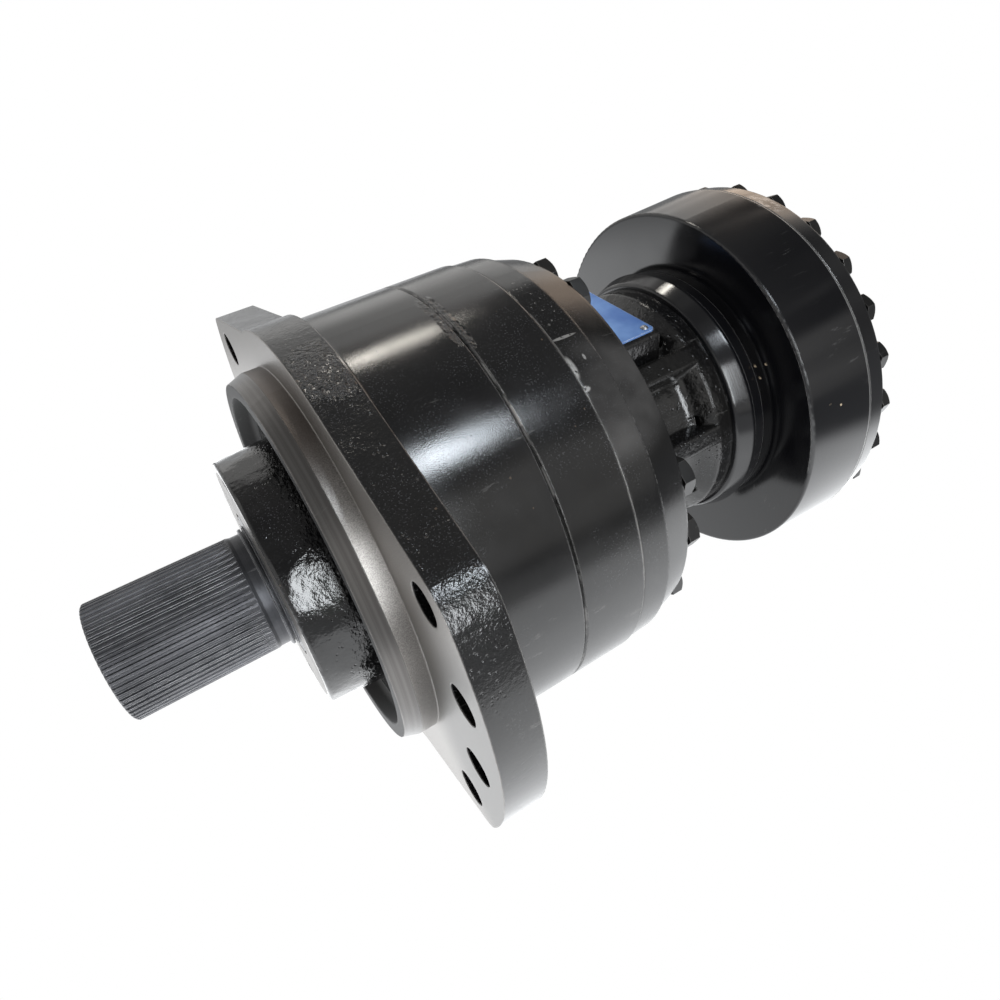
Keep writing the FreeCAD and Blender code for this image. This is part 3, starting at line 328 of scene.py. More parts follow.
def housingPaint(name, look, zones):
    # zones(tree, where, radius, along) returns the masks named in noMasks
    material, tree, shader, where = newMaterial(name, {"IOR": 1.5})
    axis = use(tree, "radius", Where=where)
    mask = zones(tree, where, axis.outputs[0], axis.outputs[1])
    skin = use(tree, "cast", Where=where, Lumps=look["lumps"], Grain=look["grain"], Pits=look["pits"])
    peel = use(tree, "grain", Where=where)
    lines = use(tree, "lines", Where=where)
    edge = use(tree, "edge", Where=where, Reach=look["round"], Amount=look["wear"])
    scuff = use(tree, "scuffs", Where=where, Scale=26.0, Amount=0.35)
    chip = use(tree, "chips", Where=where, Scale=150.0, Amount=look["chips"])
    metal = most(tree, mask["satin"], mask["polished"])
    worn = most(tree, edge.outputs[0], product(tree, scuff.outputs[0], 0.4), mask["bare"])
    cloud = ramp(tree, noise(tree, where, 14.0, 4.0, 0.6), 0.35, 0.7)
    paint = blendColour(tree, cloud, look["black"], look["smoky"])
    # painted sheen: where the zones give the sheen mask, the paint is lightened towards a paler tone
    paint = blendColour(tree, product(tree, mask["paintedSheen"], cloud), paint, look["paintedSheenTone"])
    dust = product(tree, ramp(tree, noise(tree, where, 1500.0, 1.0), 0.60, 0.70),
                   ramp(tree, noise(tree, where, 32.0, 3.0), 0.40, 0.62))
    paint = blendColour(tree, product(tree, dust, look["dust"]), paint, look["dusty"])
    sand = noise(tree, where, 2300.0, 2.0, 0.65)
    satinTone = blendColour(tree, ramp(tree, sand, 0.20, 0.80), look["satinDark"], look["satinLight"])
    # the spigot's satin is blended browner and darker towards its top
    spigotTop = spot(tree, where, look["spigotTop"], look["spigotTopSize"])
    satinTone = blendColour(tree, product(tree, spigotTop, mask["spigot"], 0.8), satinTone, look["spigotTopTone"])
    # painted shade: the satin front face of the flange is darkened towards its lower lobe
    shade = spot(tree, where, look["shade"], look["paintedShadeSize"])
    satinTone = blendColour(tree, product(tree, shade, 0.9), satinTone, look["paintedShadeTone"])
    turned = ramp(tree, lines.outputs[1], 0.3, 0.7)
    polishedTone = blendColour(tree, turned, look["polished"], look["polishedLight"])
    metalTone = blendColour(tree, mask["polished"], satinTone, polishedTone)
    colour = blendColour(tree, metal, paint, metalTone)
    colour = blendColour(tree, worn, colour, look["bareTone"])
    colour = blendColour(tree, chip.outputs[0], colour, look["primer"])
    feed(tree, shader.inputs["Base Color"], colour)
    feed(tree, shader.inputs["Metallic"], product(tree, most(tree, metal, worn), 0.85))
    patch = ramp(tree, noise(tree, where, 45.0, 3.0), 0.3, 0.75)
    shine = blendValue(tree, patch, look["rough"], look["rough"] + 0.07)
    shine = blendValue(tree, mask["soft"], shine, look["roughSoft"])
    shine = blendValue(tree, mask["satin"], shine, look["roughSatin"])
    shine = blendValue(tree, mask["polished"], shine, look["roughPolished"])
    shine = blendValue(tree, mask["dull"], shine, look["roughDull"])
    feed(tree, shader.inputs["Roughness"], blendValue(tree, worn, shine, look["roughWorn"]))
    ripples = product(tree, noise(tree, where, 150.0, 2.0, 0.5), 0.18)
    waves = total(tree, noise(tree, where, 44.0, 1.0, 0.4), ripples, -0.59)
    crinkle = calc(tree, "SUBTRACT", ramp(tree, noise(tree, where, 420.0, 3.0, 0.6), 0.40, 0.62), 0.5)
    height = total(tree, product(tree, skin.outputs[0], mask["cast"]), product(tree, waves, mask["soft"], look["waves"]),
                   product(tree, crinkle, mask["beads"], look["crinkle"]), product(tree, peel.outputs[0], look["peel"]),
                   product(tree, sand, metal, look["sand"]),
                   product(tree, lines.outputs[0], mask["polished"], look["turned"]))
    bump(tree, shader, height, bumpDepth, edge.outputs[1])
    return material


housingLook = {
    "black": (0.0021, 0.0021, 0.0025, 1), "smoky": (0.0055, 0.0052, 0.0050, 1), "bareTone": (0.30, 0.29, 0.28, 1),
    "primer": (0.42, 0.30, 0.20, 1), "satinDark": (0.135, 0.127, 0.120, 1), "satinLight": (0.33, 0.312, 0.295, 1),
    "spigotTop": (-0.008, 0.010, 0.094), "spigotTopSize": (0.02, 0.075, 0.045), "spigotTopTone": (0.075, 0.060, 0.052, 1),
    "shade": (0.0, -0.155, -0.010), "paintedShadeSize": (0.03, 0.090, 0.095), "paintedShadeTone": (0.070, 0.067, 0.063, 1),
    "polished": (0.088, 0.083, 0.080, 1), "polishedLight": (0.115, 0.110, 0.106, 1),
    "paintedSheenTone": (0.050, 0.048, 0.047, 1), "dusty": (0.05, 0.05, 0.053, 1), "dust": 0.60, "rough": 0.13,
    "roughSoft": 0.08, "roughSatin": 0.36, "roughPolished": 0.28, "roughDull": 0.62, "roughWorn": 0.42,
    "lumps": 0.30, "grain": 0.22, "pits": 0.30, "waves": 2.0, "crinkle": 1.1, "peel": 0.050, "sand": 0.035,
    "turned": 0.007, "round": 0.0010, "wear": 0.46, "chips": 0.12,
}
rearLook = dict(housingLook, grain=0.08, waves=0.8, round=0.0018, wear=0.22)

# places on the casing, each as a centre and a reach in metres
frontSpots = {
    "crinkled": ((0.0135, -0.021, 0.1052), (0.018, 0.020, 0.014)),
    "corner": ((0.0135, -0.088, 0.060), (0.020, 0.022, 0.024)),
    "seamBeads": ((0.065, -0.015, 0.103), (0.02, 0.020, 0.03)),
    "smoothFlank": ((0.010, -0.098, 0.040), (0.030, 0.030, 0.030)),
    "smoothLobe": ((0.010, -0.138, 0.000), (0.040, 0.042, 0.056)),
}
ringSpots = {
    "beads": ((0.066, -0.016, 0.103), (0.02, 0.022, 0.03)),
    "paintedGlint": ((0.0657, -0.0640, 0.0824), (0.006, 0.0060, 0.0055)),
}
rearSpots = {
    "scratch": ((0.1018, -0.0450, 0.0930), (0.0068, 0.00075, 0.0030)),
    "rub": ((0.0966, -0.0570, 0.0866), (0.0026, 0.0062, 0.0070)),
    "rubEnd": ((0.0975, -0.0650, 0.0805), (0.0024, 0.0014, 0.0022)),
    "nick": ((0.1045, -0.0550, 0.0880), (0.0008, 0.0018, 0.0020)),
    "paintedSheen": ((0.1050, -0.0700, 0.0760), (0.040, 0.034, 0.030)),
    "flecks": ((0.1020, -0.0240, 0.1005), (0.0090, 0.020, 0.012)),
}


def frontZones(tree, where, radius, along):
    rim = product(tree, band(tree, along, 0.0007, 0.0188, 0.0005), calc(tree, "GREATER_THAN", radius, 0.1055))
    patchy = ramp(tree, noise(tree, where, 24.0, 2.0), 0.30, 0.62, 0.35, 1.0)
    boss = product(tree, band(tree, along, -0.0343, -0.004, 0.0008), calc(tree, "LESS_THAN", radius, 0.0665))
    floor = product(tree, band(tree, along, -0.012, -0.002, 0.001), band(tree, radius, 0.059, 0.081, 0.001))
    face = product(tree, calc(tree, "LESS_THAN", along, 0.0002), calc(tree, "GREATER_THAN", radius, 0.0885),
                   calc(tree, "GREATER_THAN", along, -0.0079))
    taper = product(tree, band(tree, along, -0.0156, -0.0079, 0.0001), calc(tree, "GREATER_THAN", radius, 0.0829))
    bossFace = product(tree, calc(tree, "LESS_THAN", along, -0.03495), band(tree, radius, 0.0565, 0.0592, 0.0003))
    crinkled = spot(tree, where, *frontSpots["crinkled"])
    corner = spot(tree, where, *frontSpots["corner"])
    seamBeads = product(tree, band(tree, along, 0.0610, 0.0652, 0.0014),
                        spot(tree, where, *frontSpots["seamBeads"]))
    bossPits = product(tree, boss, ramp(tree, along, -0.030, -0.012, 0.25, 1.0))
    wall = product(tree, calc(tree, "LESS_THAN", along, -0.004), band(tree, radius, 0.079, 0.0832, 0.0003))
    lip = product(tree, calc(tree, "LESS_THAN", along, -0.01495), calc(tree, "GREATER_THAN", radius, 0.0800))
    taper = product(tree, taper, calc(tree, "SUBTRACT", 1.0, lip))
    wall = most(tree, wall, lip)
    spigot = product(tree, calc(tree, "LESS_THAN", along, -0.0003), calc(tree, "LESS_THAN", radius, 0.0925))
    smooth = most(tree, spot(tree, where, *frontSpots["smoothFlank"]),
                  spot(tree, where, *frontSpots["smoothLobe"]))
    gloss = calc(tree, "SUBTRACT", 1.0, product(tree, smooth, 0.85))
    cast = most(tree, product(tree, rim, patchy, gloss), product(tree, floor, 0.7), bossPits,
                product(tree, rim, corner))
    return dict(noMasks, cast=cast, soft=boss, spigot=spigot, satin=most(tree, face, product(tree, bossFace, 0.6)),
                polished=taper, dull=wall, beads=most(tree, product(tree, crinkled, rim), seamBeads))


def ringZones(tree, where, radius, along):
    beads = product(tree, band(tree, along, 0.0650, 0.0690, 0.0012),
                    spot(tree, where, *ringSpots["beads"]))
    lower = ramp(tree, noise(tree, where, 60.0, 3.0), 0.42, 0.6)
    front = product(tree, band(tree, along, 0.0651, 0.0659, 0.0002),
                    ramp(tree, noise(tree, where, 75.0, 3.0), 0.44, 0.56))
    # painted glint: a small bare pale patch on the seam's edge stands in for a bright glint there
    paintedGlint = product(tree, band(tree, along, 0.0651, 0.0663, 0.0002), spot(tree, where, *ringSpots["paintedGlint"]))
    rear = product(tree, band(tree, along, 0.0953, 0.0962, 0.0002), lower)
    return dict(noMasks, cast=product(tree, beads, 0.3), beads=beads,
                bare=most(tree, product(tree, rear, 0.7), product(tree, front, 0.45), paintedGlint))


def rearZones(tree, where, radius, along):
    neck = product(tree, band(tree, along, 0.1276, 0.187, 0.001), calc(tree, "LESS_THAN", radius, 0.094))
    seam = product(tree, band(tree, along, 0.0958, 0.0968, 0.0003),
                   ramp(tree, noise(tree, where, 45.0, 3.0), 0.30, 0.50))
    ragged = ramp(tree, noise(tree, where, 700.0, 3.0), 0.30, 0.42)
    step = product(tree, band(tree, along, 0.1104, 0.1110, 0.0002),
                   ramp(tree, noise(tree, where, 300.0, 3.0), 0.50, 0.62))
    scratch = product(tree, spot(tree, where, *rearSpots["scratch"]), ragged)
    rubs = [spot(tree, where, *rearSpots[mark]) for mark in ("rub", "rubEnd", "nick")]
    rub = product(tree, most(tree, *rubs), ragged)
    # painted sheen: a broad paler patch on the case where a soft reflection falls
    paintedSheen = spot(tree, where, *rearSpots["paintedSheen"])
    flecks = product(tree, spot(tree, where, *rearSpots["flecks"]),
                     ramp(tree, noise(tree, where, 620.0, 2.0), 0.66, 0.70))
    return dict(noMasks, cast=product(tree, neck, 0.8), soft=product(tree, neck, 0.7), paintedSheen=paintedSheen,
                bare=most(tree, product(tree, seam, 0.9), product(tree, step, 0.35), scratch, rub,
                          product(tree, flecks, 0.6)))


brakeLook = {
    "black": (0.0018, 0.0019, 0.0026, 1), "blue": (0.0042, 0.0042, 0.0052, 1), "bareTone": (0.36, 0.355, 0.35, 1),
    "primer": (0.50, 0.40, 0.28, 1), "rough": 0.11, "wear": 0.74, "peel": 0.007, "seam": (0.24185, 0.24275),
    "chips": ((0.2054, -0.0610, 0.0447), (0.2054, -0.0588, 0.0359), (0.2054, -0.0549, 0.0407),
              (0.2234, -0.0928, 0.0299), (0.2169, -0.0919, 0.0324)),
    "chipSize": (0.0011, 0.0011, 0.0009), "rubbed": (0.2475, -0.0120, 0.0962), "rubbedSize": (0.0075, 0.0130, 0.0060),
}


def brakePaint(name, look):
    # smooth gloss black over turned steel, rubbed at the rims to pale bare metal, partly real wear and partly a painted
    # highlight line along the drum's front rim, and pale in the cover's seam
    material, tree, shader, where = newMaterial(name, {"IOR": 1.5})
    axis = use(tree, "radius", Where=where)
    lines = use(tree, "lines", Where=where, Pitch=900.0)
    peel = use(tree, "grain", Where=where)
    # the brake's high edge wear is partly real wear and partly a painted highlight line on the drum's front rim
    edge = use(tree, "edge", Where=where, Reach=0.0011, Amount=look["wear"])
    scuff = use(tree, "scuffs", Where=where, Scale=20.0, Amount=0.2)
    chip = product(tree, most(tree, *[spot(tree, where, centre, look["chipSize"]) for centre in look["chips"]]),
                   ramp(tree, noise(tree, where, 1100.0, 2.0), 0.42, 0.52))
    seam = product(tree, band(tree, axis.outputs[1], look["seam"][0], look["seam"][1], 0.0002),
                   calc(tree, "GREATER_THAN", axis.outputs[0], 0.0955), 0.75)
    rubbed = product(tree, spot(tree, where, look["rubbed"], look["rubbedSize"]),
                     ramp(tree, noise(tree, where, 260.0, 4.0, 0.7), 0.46, 0.56), 0.7)
    worn = most(tree, product(tree, edge.outputs[0], 0.8), product(tree, scuff.outputs[0], 0.4), seam, rubbed)
    paint = blendColour(tree, noise(tree, where, 12.0, 3.0), look["black"], look["blue"])
    colour = blendColour(tree, worn, paint, look["bareTone"])
    feed(tree, shader.inputs["Base Color"], blendColour(tree, chip, colour, look["primer"]))
    feed(tree, shader.inputs["Metallic"], product(tree, worn, 0.9))
    shine = blendValue(tree, ramp(tree, noise(tree, where, 30.0, 3.0), 0.3, 0.7), look["rough"], look["rough"] + 0.06)
    feed(tree, shader.inputs["Roughness"], blendValue(tree, worn, shine, 0.36))
    height = total(tree, product(tree, lines.outputs[0], 0.006), product(tree, peel.outputs[0], look["peel"]))
    bump(tree, shader, height, bumpDepth, edge.outputs[1])
    return material


def metalMaterial(name, look):
    # machined or ground metal with its tool lines
    material, tree, shader, where = newMaterial(name, {"IOR": 1.5})
    lines = use(tree, "lines", Where=where, Pitch=look["pitch"])
    edge = use(tree, "edge", Where=where, Reach=0.0005, Amount=0.55)
    scuff = use(tree, "scuffs", Where=where, Scale=40.0, Amount=0.5)
    tone = blendColour(tree, ramp(tree, noise(tree, where, 60.0, 4.0, 0.6), 0.3, 0.7), look["dark"], look["light"])
    tone = blendColour(tree, product(tree, lines.outputs[1], 0.35), tone, look["light"])
    tone = blendColour(tree, most(tree, edge.outputs[0], scuff.outputs[0]), tone, look["bright"])
    feed(tree, shader.inputs["Base Color"], tone)
    feed(tree, shader.inputs["Metallic"], blendValue(tree, edge.outputs[0], look["metal"], 1.0))
    shine = blendValue(tree, noise(tree, where, 90.0, 3.0), look["rough"], look["rough"] + 0.14)
    feed(tree, shader.inputs["Roughness"], shine)
    bump(tree, shader, lines.outputs[0], look["depth"], edge.outputs[1])
    return material


def softMaterial(name, look):
    # moulded rubber, lining and bronze: a fine even grain
    material, tree, shader, where = newMaterial(name, {"IOR": 1.45})
    grain = noise(tree, where, look["grain"], 3.0, 0.6)
    feed(tree, shader.inputs["Base Color"], blendColour(tree, ramp(tree, grain, 0.3, 0.7), look["dark"], look["light"]))
    feed(tree, shader.inputs["Metallic"], product(tree, ramp(tree, grain, 0.2, 0.5), look["metal"]))
    feed(tree, shader.inputs["Roughness"], blendValue(tree, grain, look["rough"], look["rough"] + 0.2))
    bump(tree, shader, grain, 0.00008)
    return material


plateLook = {"deep": (0.055, 0.15, 0.42, 1), "pale": (0.16, 0.31, 0.62, 1), "rim": (0.6, 0.62, 0.66, 1), "rough": 0.30}


def plateMaterial(name, look):
    # blue anodised sheet, brushed along its length, with a rubbed rim
    material, tree, shader, where = newMaterial(name, {"IOR": 1.5})
    stretch = put(tree, "ShaderNodeMapping")
    feed(tree, stretch.inputs["Vector"], where)
    stretch.inputs["Scale"].default_value = (1.0, 0.04, 1.0)
    brushed = noise(tree, stretch.outputs[0], 2600.0, 3.0, 0.7)
    cloud = noise(tree, where, 45.0, 3.0)
    edge = use(tree, "edge", Where=where, Reach=0.0005, Amount=0.6)
    scuff = use(tree, "scuffs", Where=where, Scale=60.0, Amount=0.8)
    colour = blendColour(tree, ramp(tree, cloud, 0.3, 0.7), look["deep"], look["pale"])
    colour = blendColour(tree, most(tree, edge.outputs[0], scuff.outputs[0]), colour, look["rim"])
    feed(tree, shader.inputs["Base Color"], colour)
    feed(tree, shader.inputs["Metallic"], calc(tree, "ADD", 0.35, product(tree, brushed, 0.2), True))
    feed(tree, shader.inputs["Roughness"], blendValue(tree, brushed, look["rough"], look["rough"] + 0.18))
    bump(tree, shader, brushed, 0.00004, edge.outputs[1])
    return material


shaftLook = {"pitch": 700.0, "dark": (0.034, 0.035, 0.039, 1), "light": (0.075, 0.076, 0.083, 1),
             "bright": (0.35, 0.35, 0.36, 1), "metal": 0.75, "rough": 0.36, "depth": 0.00006}
groundLook = {"pitch": 1500.0, "dark": (0.45, 0.45, 0.47, 1), "light": (0.6, 0.6, 0.62, 1),
              "bright": (0.75, 0.75, 0.76, 1), "metal": 1.0, "rough": 0.16, "depth": 0.00002}
steelLook = {"pitch": 1100.0, "dark": (0.30, 0.30, 0.31, 1), "light": (0.42, 0.42, 0.43, 1),
             "bright": (0.62, 0.62, 0.62, 1), "metal": 1.0, "rough": 0.30, "depth": 0.00006}
ironLook = {"pitch": 900.0, "dark": (0.12, 0.115, 0.11, 1), "light": (0.20, 0.19, 0.18, 1),
            "bright": (0.4, 0.38, 0.36, 1), "metal": 0.9, "rough": 0.40, "depth": 0.00006}
boltLook = {"pitch": 1600.0, "dark": (0.0025, 0.0025, 0.003, 1), "light": (0.006, 0.0058, 0.0056, 1),
            "bright": (0.16, 0.155, 0.15, 1), "metal": 0.05, "rough": 0.24, "depth": 0.00003}
rubberLook = {"grain": 700.0, "dark": (0.012, 0.012, 0.012, 1), "light": (0.03, 0.03, 0.03, 1),
              "metal": 0.0, "rough": 0.45}
liningLook = {"grain": 1500.0, "dark": (0.10, 0.065, 0.045, 1), "light": (0.22, 0.15, 0.11, 1),
              "metal": 0.2, "rough": 0.6}
bronzeLook = {"grain": 400.0, "dark": (0.42, 0.28, 0.12, 1), "light": (0.55, 0.38, 0.18, 1),
              "metal": 0.95, "rough": 0.26}

materials = {
    "frontPaint": housingPaint("frontPaint", housingLook, frontZones),
    "ringPaint": housingPaint("ringPaint", housingLook, ringZones),
    "rearPaint": housingPaint("rearPaint", rearLook, rearZones),
    "brakePaint": brakePaint("brakePaint", brakeLook),
    "shaft": metalMaterial("shaftPhosphate", shaftLook),
    "ground": metalMaterial("groundSteel", groundLook),
    "steel": metalMaterial("turnedSteel", steelLook),
    "iron": metalMaterial("turnedIron", ironLook),
    "bolt": metalMaterial("paintedBolt", boltLook),
    "rubber": softMaterial("sealRubber", rubberLook),
    "lining": softMaterial("brakeLining", liningLook),
    "bronze": softMaterial("bushBronze", bronzeLook),
    "plate": plateMaterial("bluePlate", plateLook),
    "rivet": metalMaterial("rivetMetal", steelLook),
}
finishOf = {
    "output_shaft": "shaft", "seal_cover": "iron", "shaft_seal": "rubber", "front_housing": "frontPaint",
    "bearing_nut": "steel", "front_seal_ring": "rubber", "cam_ring": "ringPaint", "rear_seal_ring": "rubber",
    "cylinder_block": "iron", "distributor": "iron", "distributor_rings": "rubber", "rear_case": "rearPaint",
    "case_neck": "rearPaint", "case_bolts": "bolt", "name_plate": "plate", "plate_rivets": "rivet",
    "brake_shaft": "steel", "brake_bush": "bronze", "brake_adapter": "brakePaint", "brake_housing": "brakePaint",
    "brake_hub_screws": "bolt", "outer_brake_discs": "steel",
    "inner_brake_discs": "lining", "brake_piston": "steel", "brake_piston_seal": "rubber",
    "brake_disc_spring": "steel", "brake_cover": "brakePaint", "end_plug": "bolt", "brake_bolts": "bolt",
}
for node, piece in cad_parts.items():
    finish = finishOf.get(node)
    if finish is None:
        finish = "steel" if node.startswith("piston") or node.endswith("cage") else "ground"
    piece.data.materials.clear()
    piece.data.materials.append(materials[finish])
print("stage: finishes on every node")

drainTilt = math.radians(7.5)
threads = {
    "workPortThreadA": {"mouth": (0.1614, -0.021, -0.0657), "out": (0, 0, -1), "radius": 0.01258,
                        "pitch": 0.002, "turns": 9},
    "workPortThreadB": {"mouth": (0.1614, 0.021, -0.0657), "out": (0, 0, -1), "radius": 0.01258,
                        "pitch": 0.002, "turns": 9},
    "drainThread": {"mouth": (0.1614, 0.07138, 0.0094), "out": (0, math.cos(drainTilt), math.sin(drainTilt)),
                    "radius": 0.00758, "pitch": 0.00134, "turns": 9},
    "brakePortThread": {"mouth": (0.2318, 0.04512, -0.08485), "out": (0, 0.46947, -0.88295), "radius": 0.00578,
                        "pitch": 0.00134, "turns": 7},
    "shaftEndThread": {"mouth": (-0.1048, 0, 0), "out": (-1, 0, 0), "radius": 0.00508, "pitch": 0.00175, "turns": 13},
}


threadCut = {"depth": 0.45, "crest": 0.40, "width": 0.8, "stepsPerTurn": 28}


def makeThread(name, size):
    mesh = bmesh.new()
    radius, pitch = size["radius"], size["pitch"]
    perTurn = threadCut["stepsPerTurn"]
    profile = [(radius, 0, 0), (radius - pitch * threadCut["depth"], 0, pitch * threadCut["crest"]),
               (radius, 0, pitch * threadCut["width"])]
    corners = [mesh.verts.new(point) for point in profile]
    rail = [mesh.edges.new(pair) for pair in zip(corners, corners[1:])]
    bmesh.ops.spin(mesh, geom=corners + rail, cent=(0, 0, 0), axis=(0, 0, 1), dvec=(0, 0, -pitch / perTurn),
                   angle=math.tau * size["turns"], steps=perTurn * size["turns"])
    outward = Vector(size["out"])
    turn = Vector((0, 0, 1)).rotation_difference(outward).to_matrix().to_4x4()
    bmesh.ops.transform(mesh, matrix=Matrix.Translation(Vector(size["mouth"]) - outward * pitch) @ turn,
                        verts=mesh.verts)
    data = bpy.data.meshes.new(name)
    mesh.to_mesh(data)
    mesh.free()
    for face in data.polygons:
        face.use_smooth = True
    piece = bpy.data.objects.new(name, data)
    bpy.context.scene.collection.objects.link(piece)
    return piece


for name, size in threads.items():
    piece = makeThread(name, size)
    onShaft = name == "shaftEndThread"
    piece.data.materials.append(materials["shaft" if onShaft else "steel"])
    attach(piece, "rotor" if onShaft else "housing")
print("stage: threads cut")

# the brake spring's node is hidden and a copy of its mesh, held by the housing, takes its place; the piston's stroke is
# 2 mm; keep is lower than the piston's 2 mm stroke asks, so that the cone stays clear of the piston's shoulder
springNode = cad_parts["brake_disc_spring"]
spring = bpy.data.objects.new("flatteningSpring", springNode.data.copy())
spring.matrix_world = springNode.matrix_world.copy()
bpy.context.scene.collection.objects.link(spring)
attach(spring, "housing")
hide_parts("brake_disc_spring")
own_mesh(spring)

view = {
    "place": (-0.0473, -0.2615, 0.2438), "right": (0.8399, -0.5333, -0.1016), "up": (0.4219, 0.5235, 0.7403),
    "back": (-0.3415, -0.6646, 0.6646), "lens": 26.83,
}
cameraData = bpy.data.cameras.new("camera")
cameraData.sensor_width = 36.0
cameraData.lens = view["lens"]
cameraData.clip_start = 0.01
camera = bpy.data.objects.new("camera", cameraData)
bpy.context.scene.collection.objects.link(camera)
turn = Matrix((view["right"], view["up"], view["back"])).transposed().to_4x4()
camera.matrix_world = Matrix.Translation(view["place"]) @ turn
bpy.context.scene.camera = camera

floorSize = {"height": -0.1080, "half": 6.0, "middle": (0.06, -0.02), "near": 0.36, "far": 0.52, "white": 2.3,
             "dim": 0.75, "paintedShadowBox": (0.00, 0.27, -0.14, 0.12), "paintedShadowDepth": 0.42, "farShade": 0.35}
floorMesh = bmesh.new()
bmesh.ops.create_grid(floorMesh, x_segments=1, y_segments=1, size=floorSize["half"])
bmesh.ops.translate(floorMesh, verts=floorMesh.verts, vec=(0, 0, floorSize["height"]))
floorData = bpy.data.meshes.new("floor")
floorMesh.to_mesh(floorData)
floorMesh.free()
floor = bpy.data.objects.new("floor", floorData)
bpy.context.scene.collection.objects.link(floor)
# the floor glows instead of being lit: pure white to the camera; to reflections a glow that is brightest about the
# middle, dims away from it and beyond x=0.38, and has a painted shadow under the object
floorMaterial = bpy.data.materials.new("paleFloor")
floorMaterial.use_nodes = True
tree = floorMaterial.node_tree
tree.nodes.clear()
away = put(tree, "ShaderNodeVectorMath", operation="DISTANCE")
where = put(tree, "ShaderNodeTexCoord").outputs["Object"]
feed(tree, away.inputs[0], where)
away.inputs[1].default_value = (*floorSize["middle"], floorSize["height"])
floorGlow = ramp(tree, away.outputs["Value"], floorSize["near"], floorSize["far"], floorSize["white"], floorSize["dim"])
split = put(tree, "ShaderNodeSeparateXYZ")
feed(tree, split.inputs[0], where)
# painted shadow: the floor's glow is darkened in a box under the object
left, right, front, back = floorSize["paintedShadowBox"]
paintedShadowBox = product(tree, band(tree, split.outputs[0], left - 0.05, right + 0.05, 0.10),
                band(tree, split.outputs[1], front - 0.05, back + 0.05, 0.10), floorSize["paintedShadowDepth"])
beyond = product(tree, ramp(tree, split.outputs[0], 0.38, 0.50), 1.0 - floorSize["farShade"])
floorGlow = product(tree, floorGlow, calc(tree, "SUBTRACT", 1.0, paintedShadowBox), calc(tree, "SUBTRACT", 1.0, beyond))
path = put(tree, "ShaderNodeLightPath")
seen = calc(tree, "MAXIMUM", path.outputs["Is Camera Ray"], path.outputs["Is Transmission Ray"])
glow = put(tree, "ShaderNodeEmission")
glow.inputs[0].default_value = (0.97, 0.985, 1, 1)
feed(tree, glow.inputs[1], floorGlow)
white = put(tree, "ShaderNodeEmission")
white.inputs[0].default_value = (1, 1, 1, 1)
mix = put(tree, "ShaderNodeMixShader")
feed(tree, mix.inputs[0], seen)
tree.links.new(glow.outputs[0], mix.inputs[1])
tree.links.new(white.outputs[0], mix.inputs[2])
tree.links.new(mix.outputs[0], put(tree, "ShaderNodeOutputMaterial").inputs[0])
floorData.materials.append(floorMaterial)

room = {"horizon": 1.05, "ceiling": 0.30, "dark": 0.22, "wallTop": 0.64, "wallTopAhead": 0.46,
        "frontShade": 0.66, "warmGain": 1.6, "warm": (1.0, 0.80, 0.64, 1), "darkAhead": 0.60, "strip": 0.35,
        "plain": (1.0, 0.99, 0.97, 1)}
world = bpy.data.worlds.new("studio")
bpy.context.scene.world = world
world.use_nodes = True
tree = world.node_tree
tree.nodes.clear()
path = put(tree, "ShaderNodeLightPath")
split = put(tree, "ShaderNodeSeparateXYZ")
feed(tree, split.inputs[0], put(tree, "ShaderNodeTexCoord").outputs["Generated"])
ahead, across, upward = split.outputs[0], split.outputs[1], split.outputs[2]
edgeOfWall = ramp(tree, ahead, 0.40, 0.64, room["wallTop"], room["wallTopAhead"])
sky = ramp(tree, calc(tree, "SUBTRACT", upward, edgeOfWall), -0.05, 0.05, room["horizon"], room["ceiling"])
stretched = put(tree, "ShaderNodeMapping")
feed(tree, stretched.inputs["Vector"], put(tree, "ShaderNodeTexCoord").outputs["Generated"])
stretched.inputs["Scale"].default_value = (1.5, 1.5, 9.0)
sky = product(tree, sky, ramp(tree, noise(tree, stretched.outputs[0], 1.6, 2.0, 0.5), 0.34, 0.66, 0.72, 1.28))
sky = product(tree, sky, ramp(tree, across, -0.85, -0.45, room["frontShade"], 1.0))
above = ramp(tree, calc(tree, "SUBTRACT", upward, edgeOfWall), -0.02, 0.03)
aheadShade = product(tree, above, ramp(tree, ahead, 0.40, 0.66))
sky = product(tree, sky, blendValue(tree, aheadShade, 1.0, room["darkAhead"]))
strip = product(tree, band(tree, upward, 0.600, 0.650, 0.015), ramp(tree, ahead, 0.55, 0.68), room["strip"])
sky = total(tree, sky, strip)
shade = product(tree, ramp(tree, ahead, 0.60, 0.76), ramp(tree, across, 0.12, 0.42, 1.0, 0.0))
sky = product(tree, sky, blendValue(tree, shade, 1.0, room["dark"]))
warmth = product(tree, ramp(tree, ahead, 0.58, 0.73), ramp(tree, across, 0.15, 0.5))
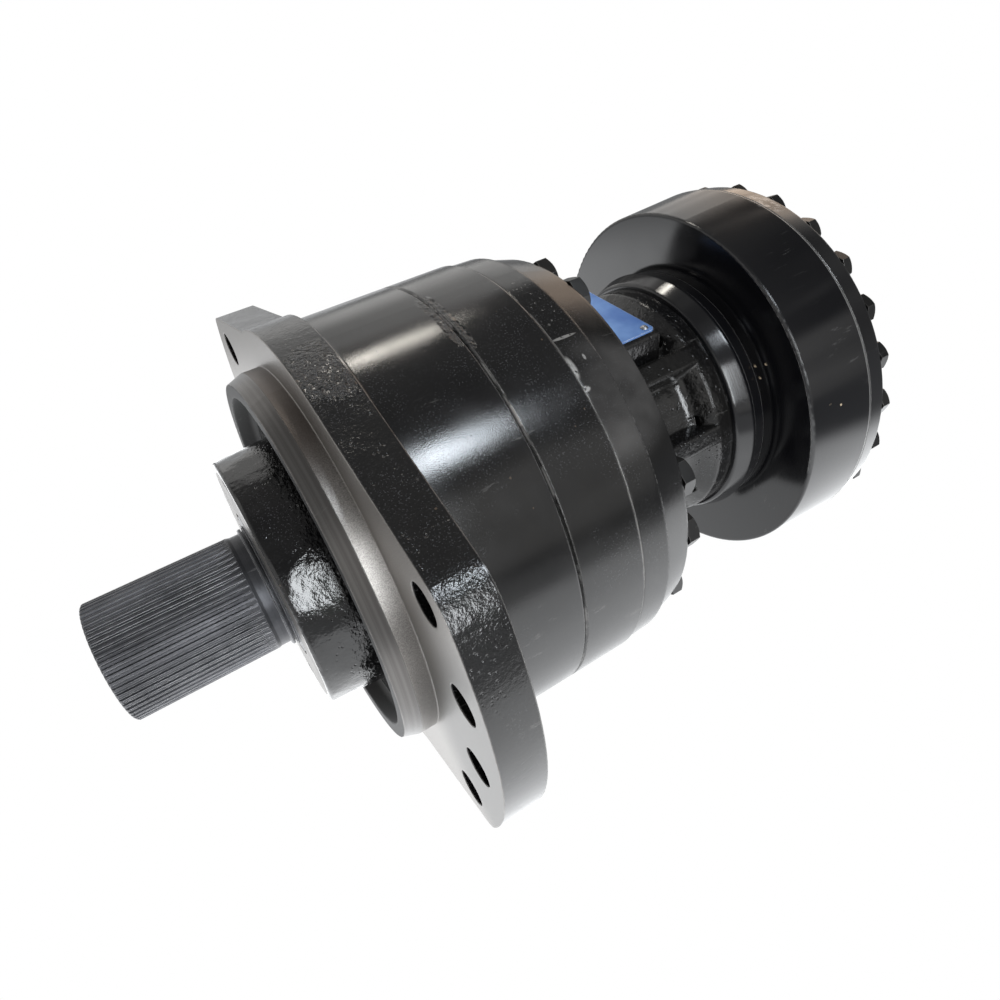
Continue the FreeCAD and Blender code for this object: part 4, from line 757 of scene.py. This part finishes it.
sky = product(tree, sky, blendValue(tree, warmth, 1.0, room["warmGain"]))
walls = put(tree, "ShaderNodeBackground")
feed(tree, walls.inputs["Strength"], sky)
feed(tree, walls.inputs["Color"], blendColour(tree, warmth, room["plain"], room["warm"]))
white = put(tree, "ShaderNodeBackground")
white.inputs["Color"].default_value = (1, 1, 1, 1)
white.inputs["Strength"].default_value = 1.0
mix = put(tree, "ShaderNodeMixShader")
feed(tree, mix.inputs[0], calc(tree, "MAXIMUM", path.outputs["Is Camera Ray"], path.outputs["Is Transmission Ray"]))
tree.links.new(walls.outputs[0], mix.inputs[1])
tree.links.new(white.outputs[0], mix.inputs[2])
tree.links.new(mix.outputs[0], put(tree, "ShaderNodeOutputWorld").inputs[0])

lamps = {
    "ceilingPanel": {"over": (-0.015, -0.063, 0.083), "toward": (0.32, -0.43, 0.845), "away": 1.3, "size": (0.25, 0.24),
                     "glare": 31.0, "colour": (0.86, 0.93, 1.0)},
    "backPanel": {"over": (0.000, -0.024, 0.101), "toward": (0.313, 0.577, 0.755), "away": 1.3, "size": (0.24, 0.080),
                  "glare": 31.0, "colour": (1.0, 0.95, 0.86)},
    "leftWindow": {"over": (0.050, -0.050, 0.036), "toward": (0.02, -0.90, 0.42), "away": 1.2, "size": (0.26, 0.70),
                   "glare": 17.0, "colour": (0.93, 0.97, 1.0)},
}
for name, lamp in lamps.items():
    light = bpy.data.lights.new(name, "AREA")
    light.shape = "RECTANGLE"
    light.size, light.size_y = lamp["size"]
    light.energy = lamp["glare"] * math.pi * lamp["size"][0] * lamp["size"][1]
    light.color = lamp["colour"]
    holder = bpy.data.objects.new(name, light)
    bpy.context.scene.collection.objects.link(holder)
    back = Vector(lamp["toward"]).normalized()
    side = (Vector((1, 0, 0)) - back * back.x).normalized()
    axes = Matrix((side, back.cross(side), back)).transposed().to_4x4()
    holder.matrix_world = Matrix.Translation(Vector(lamp["over"]) + back * lamp["away"]) @ axes

bpy.context.scene.view_settings.view_transform = "Standard"
print("stage: camera and light set")
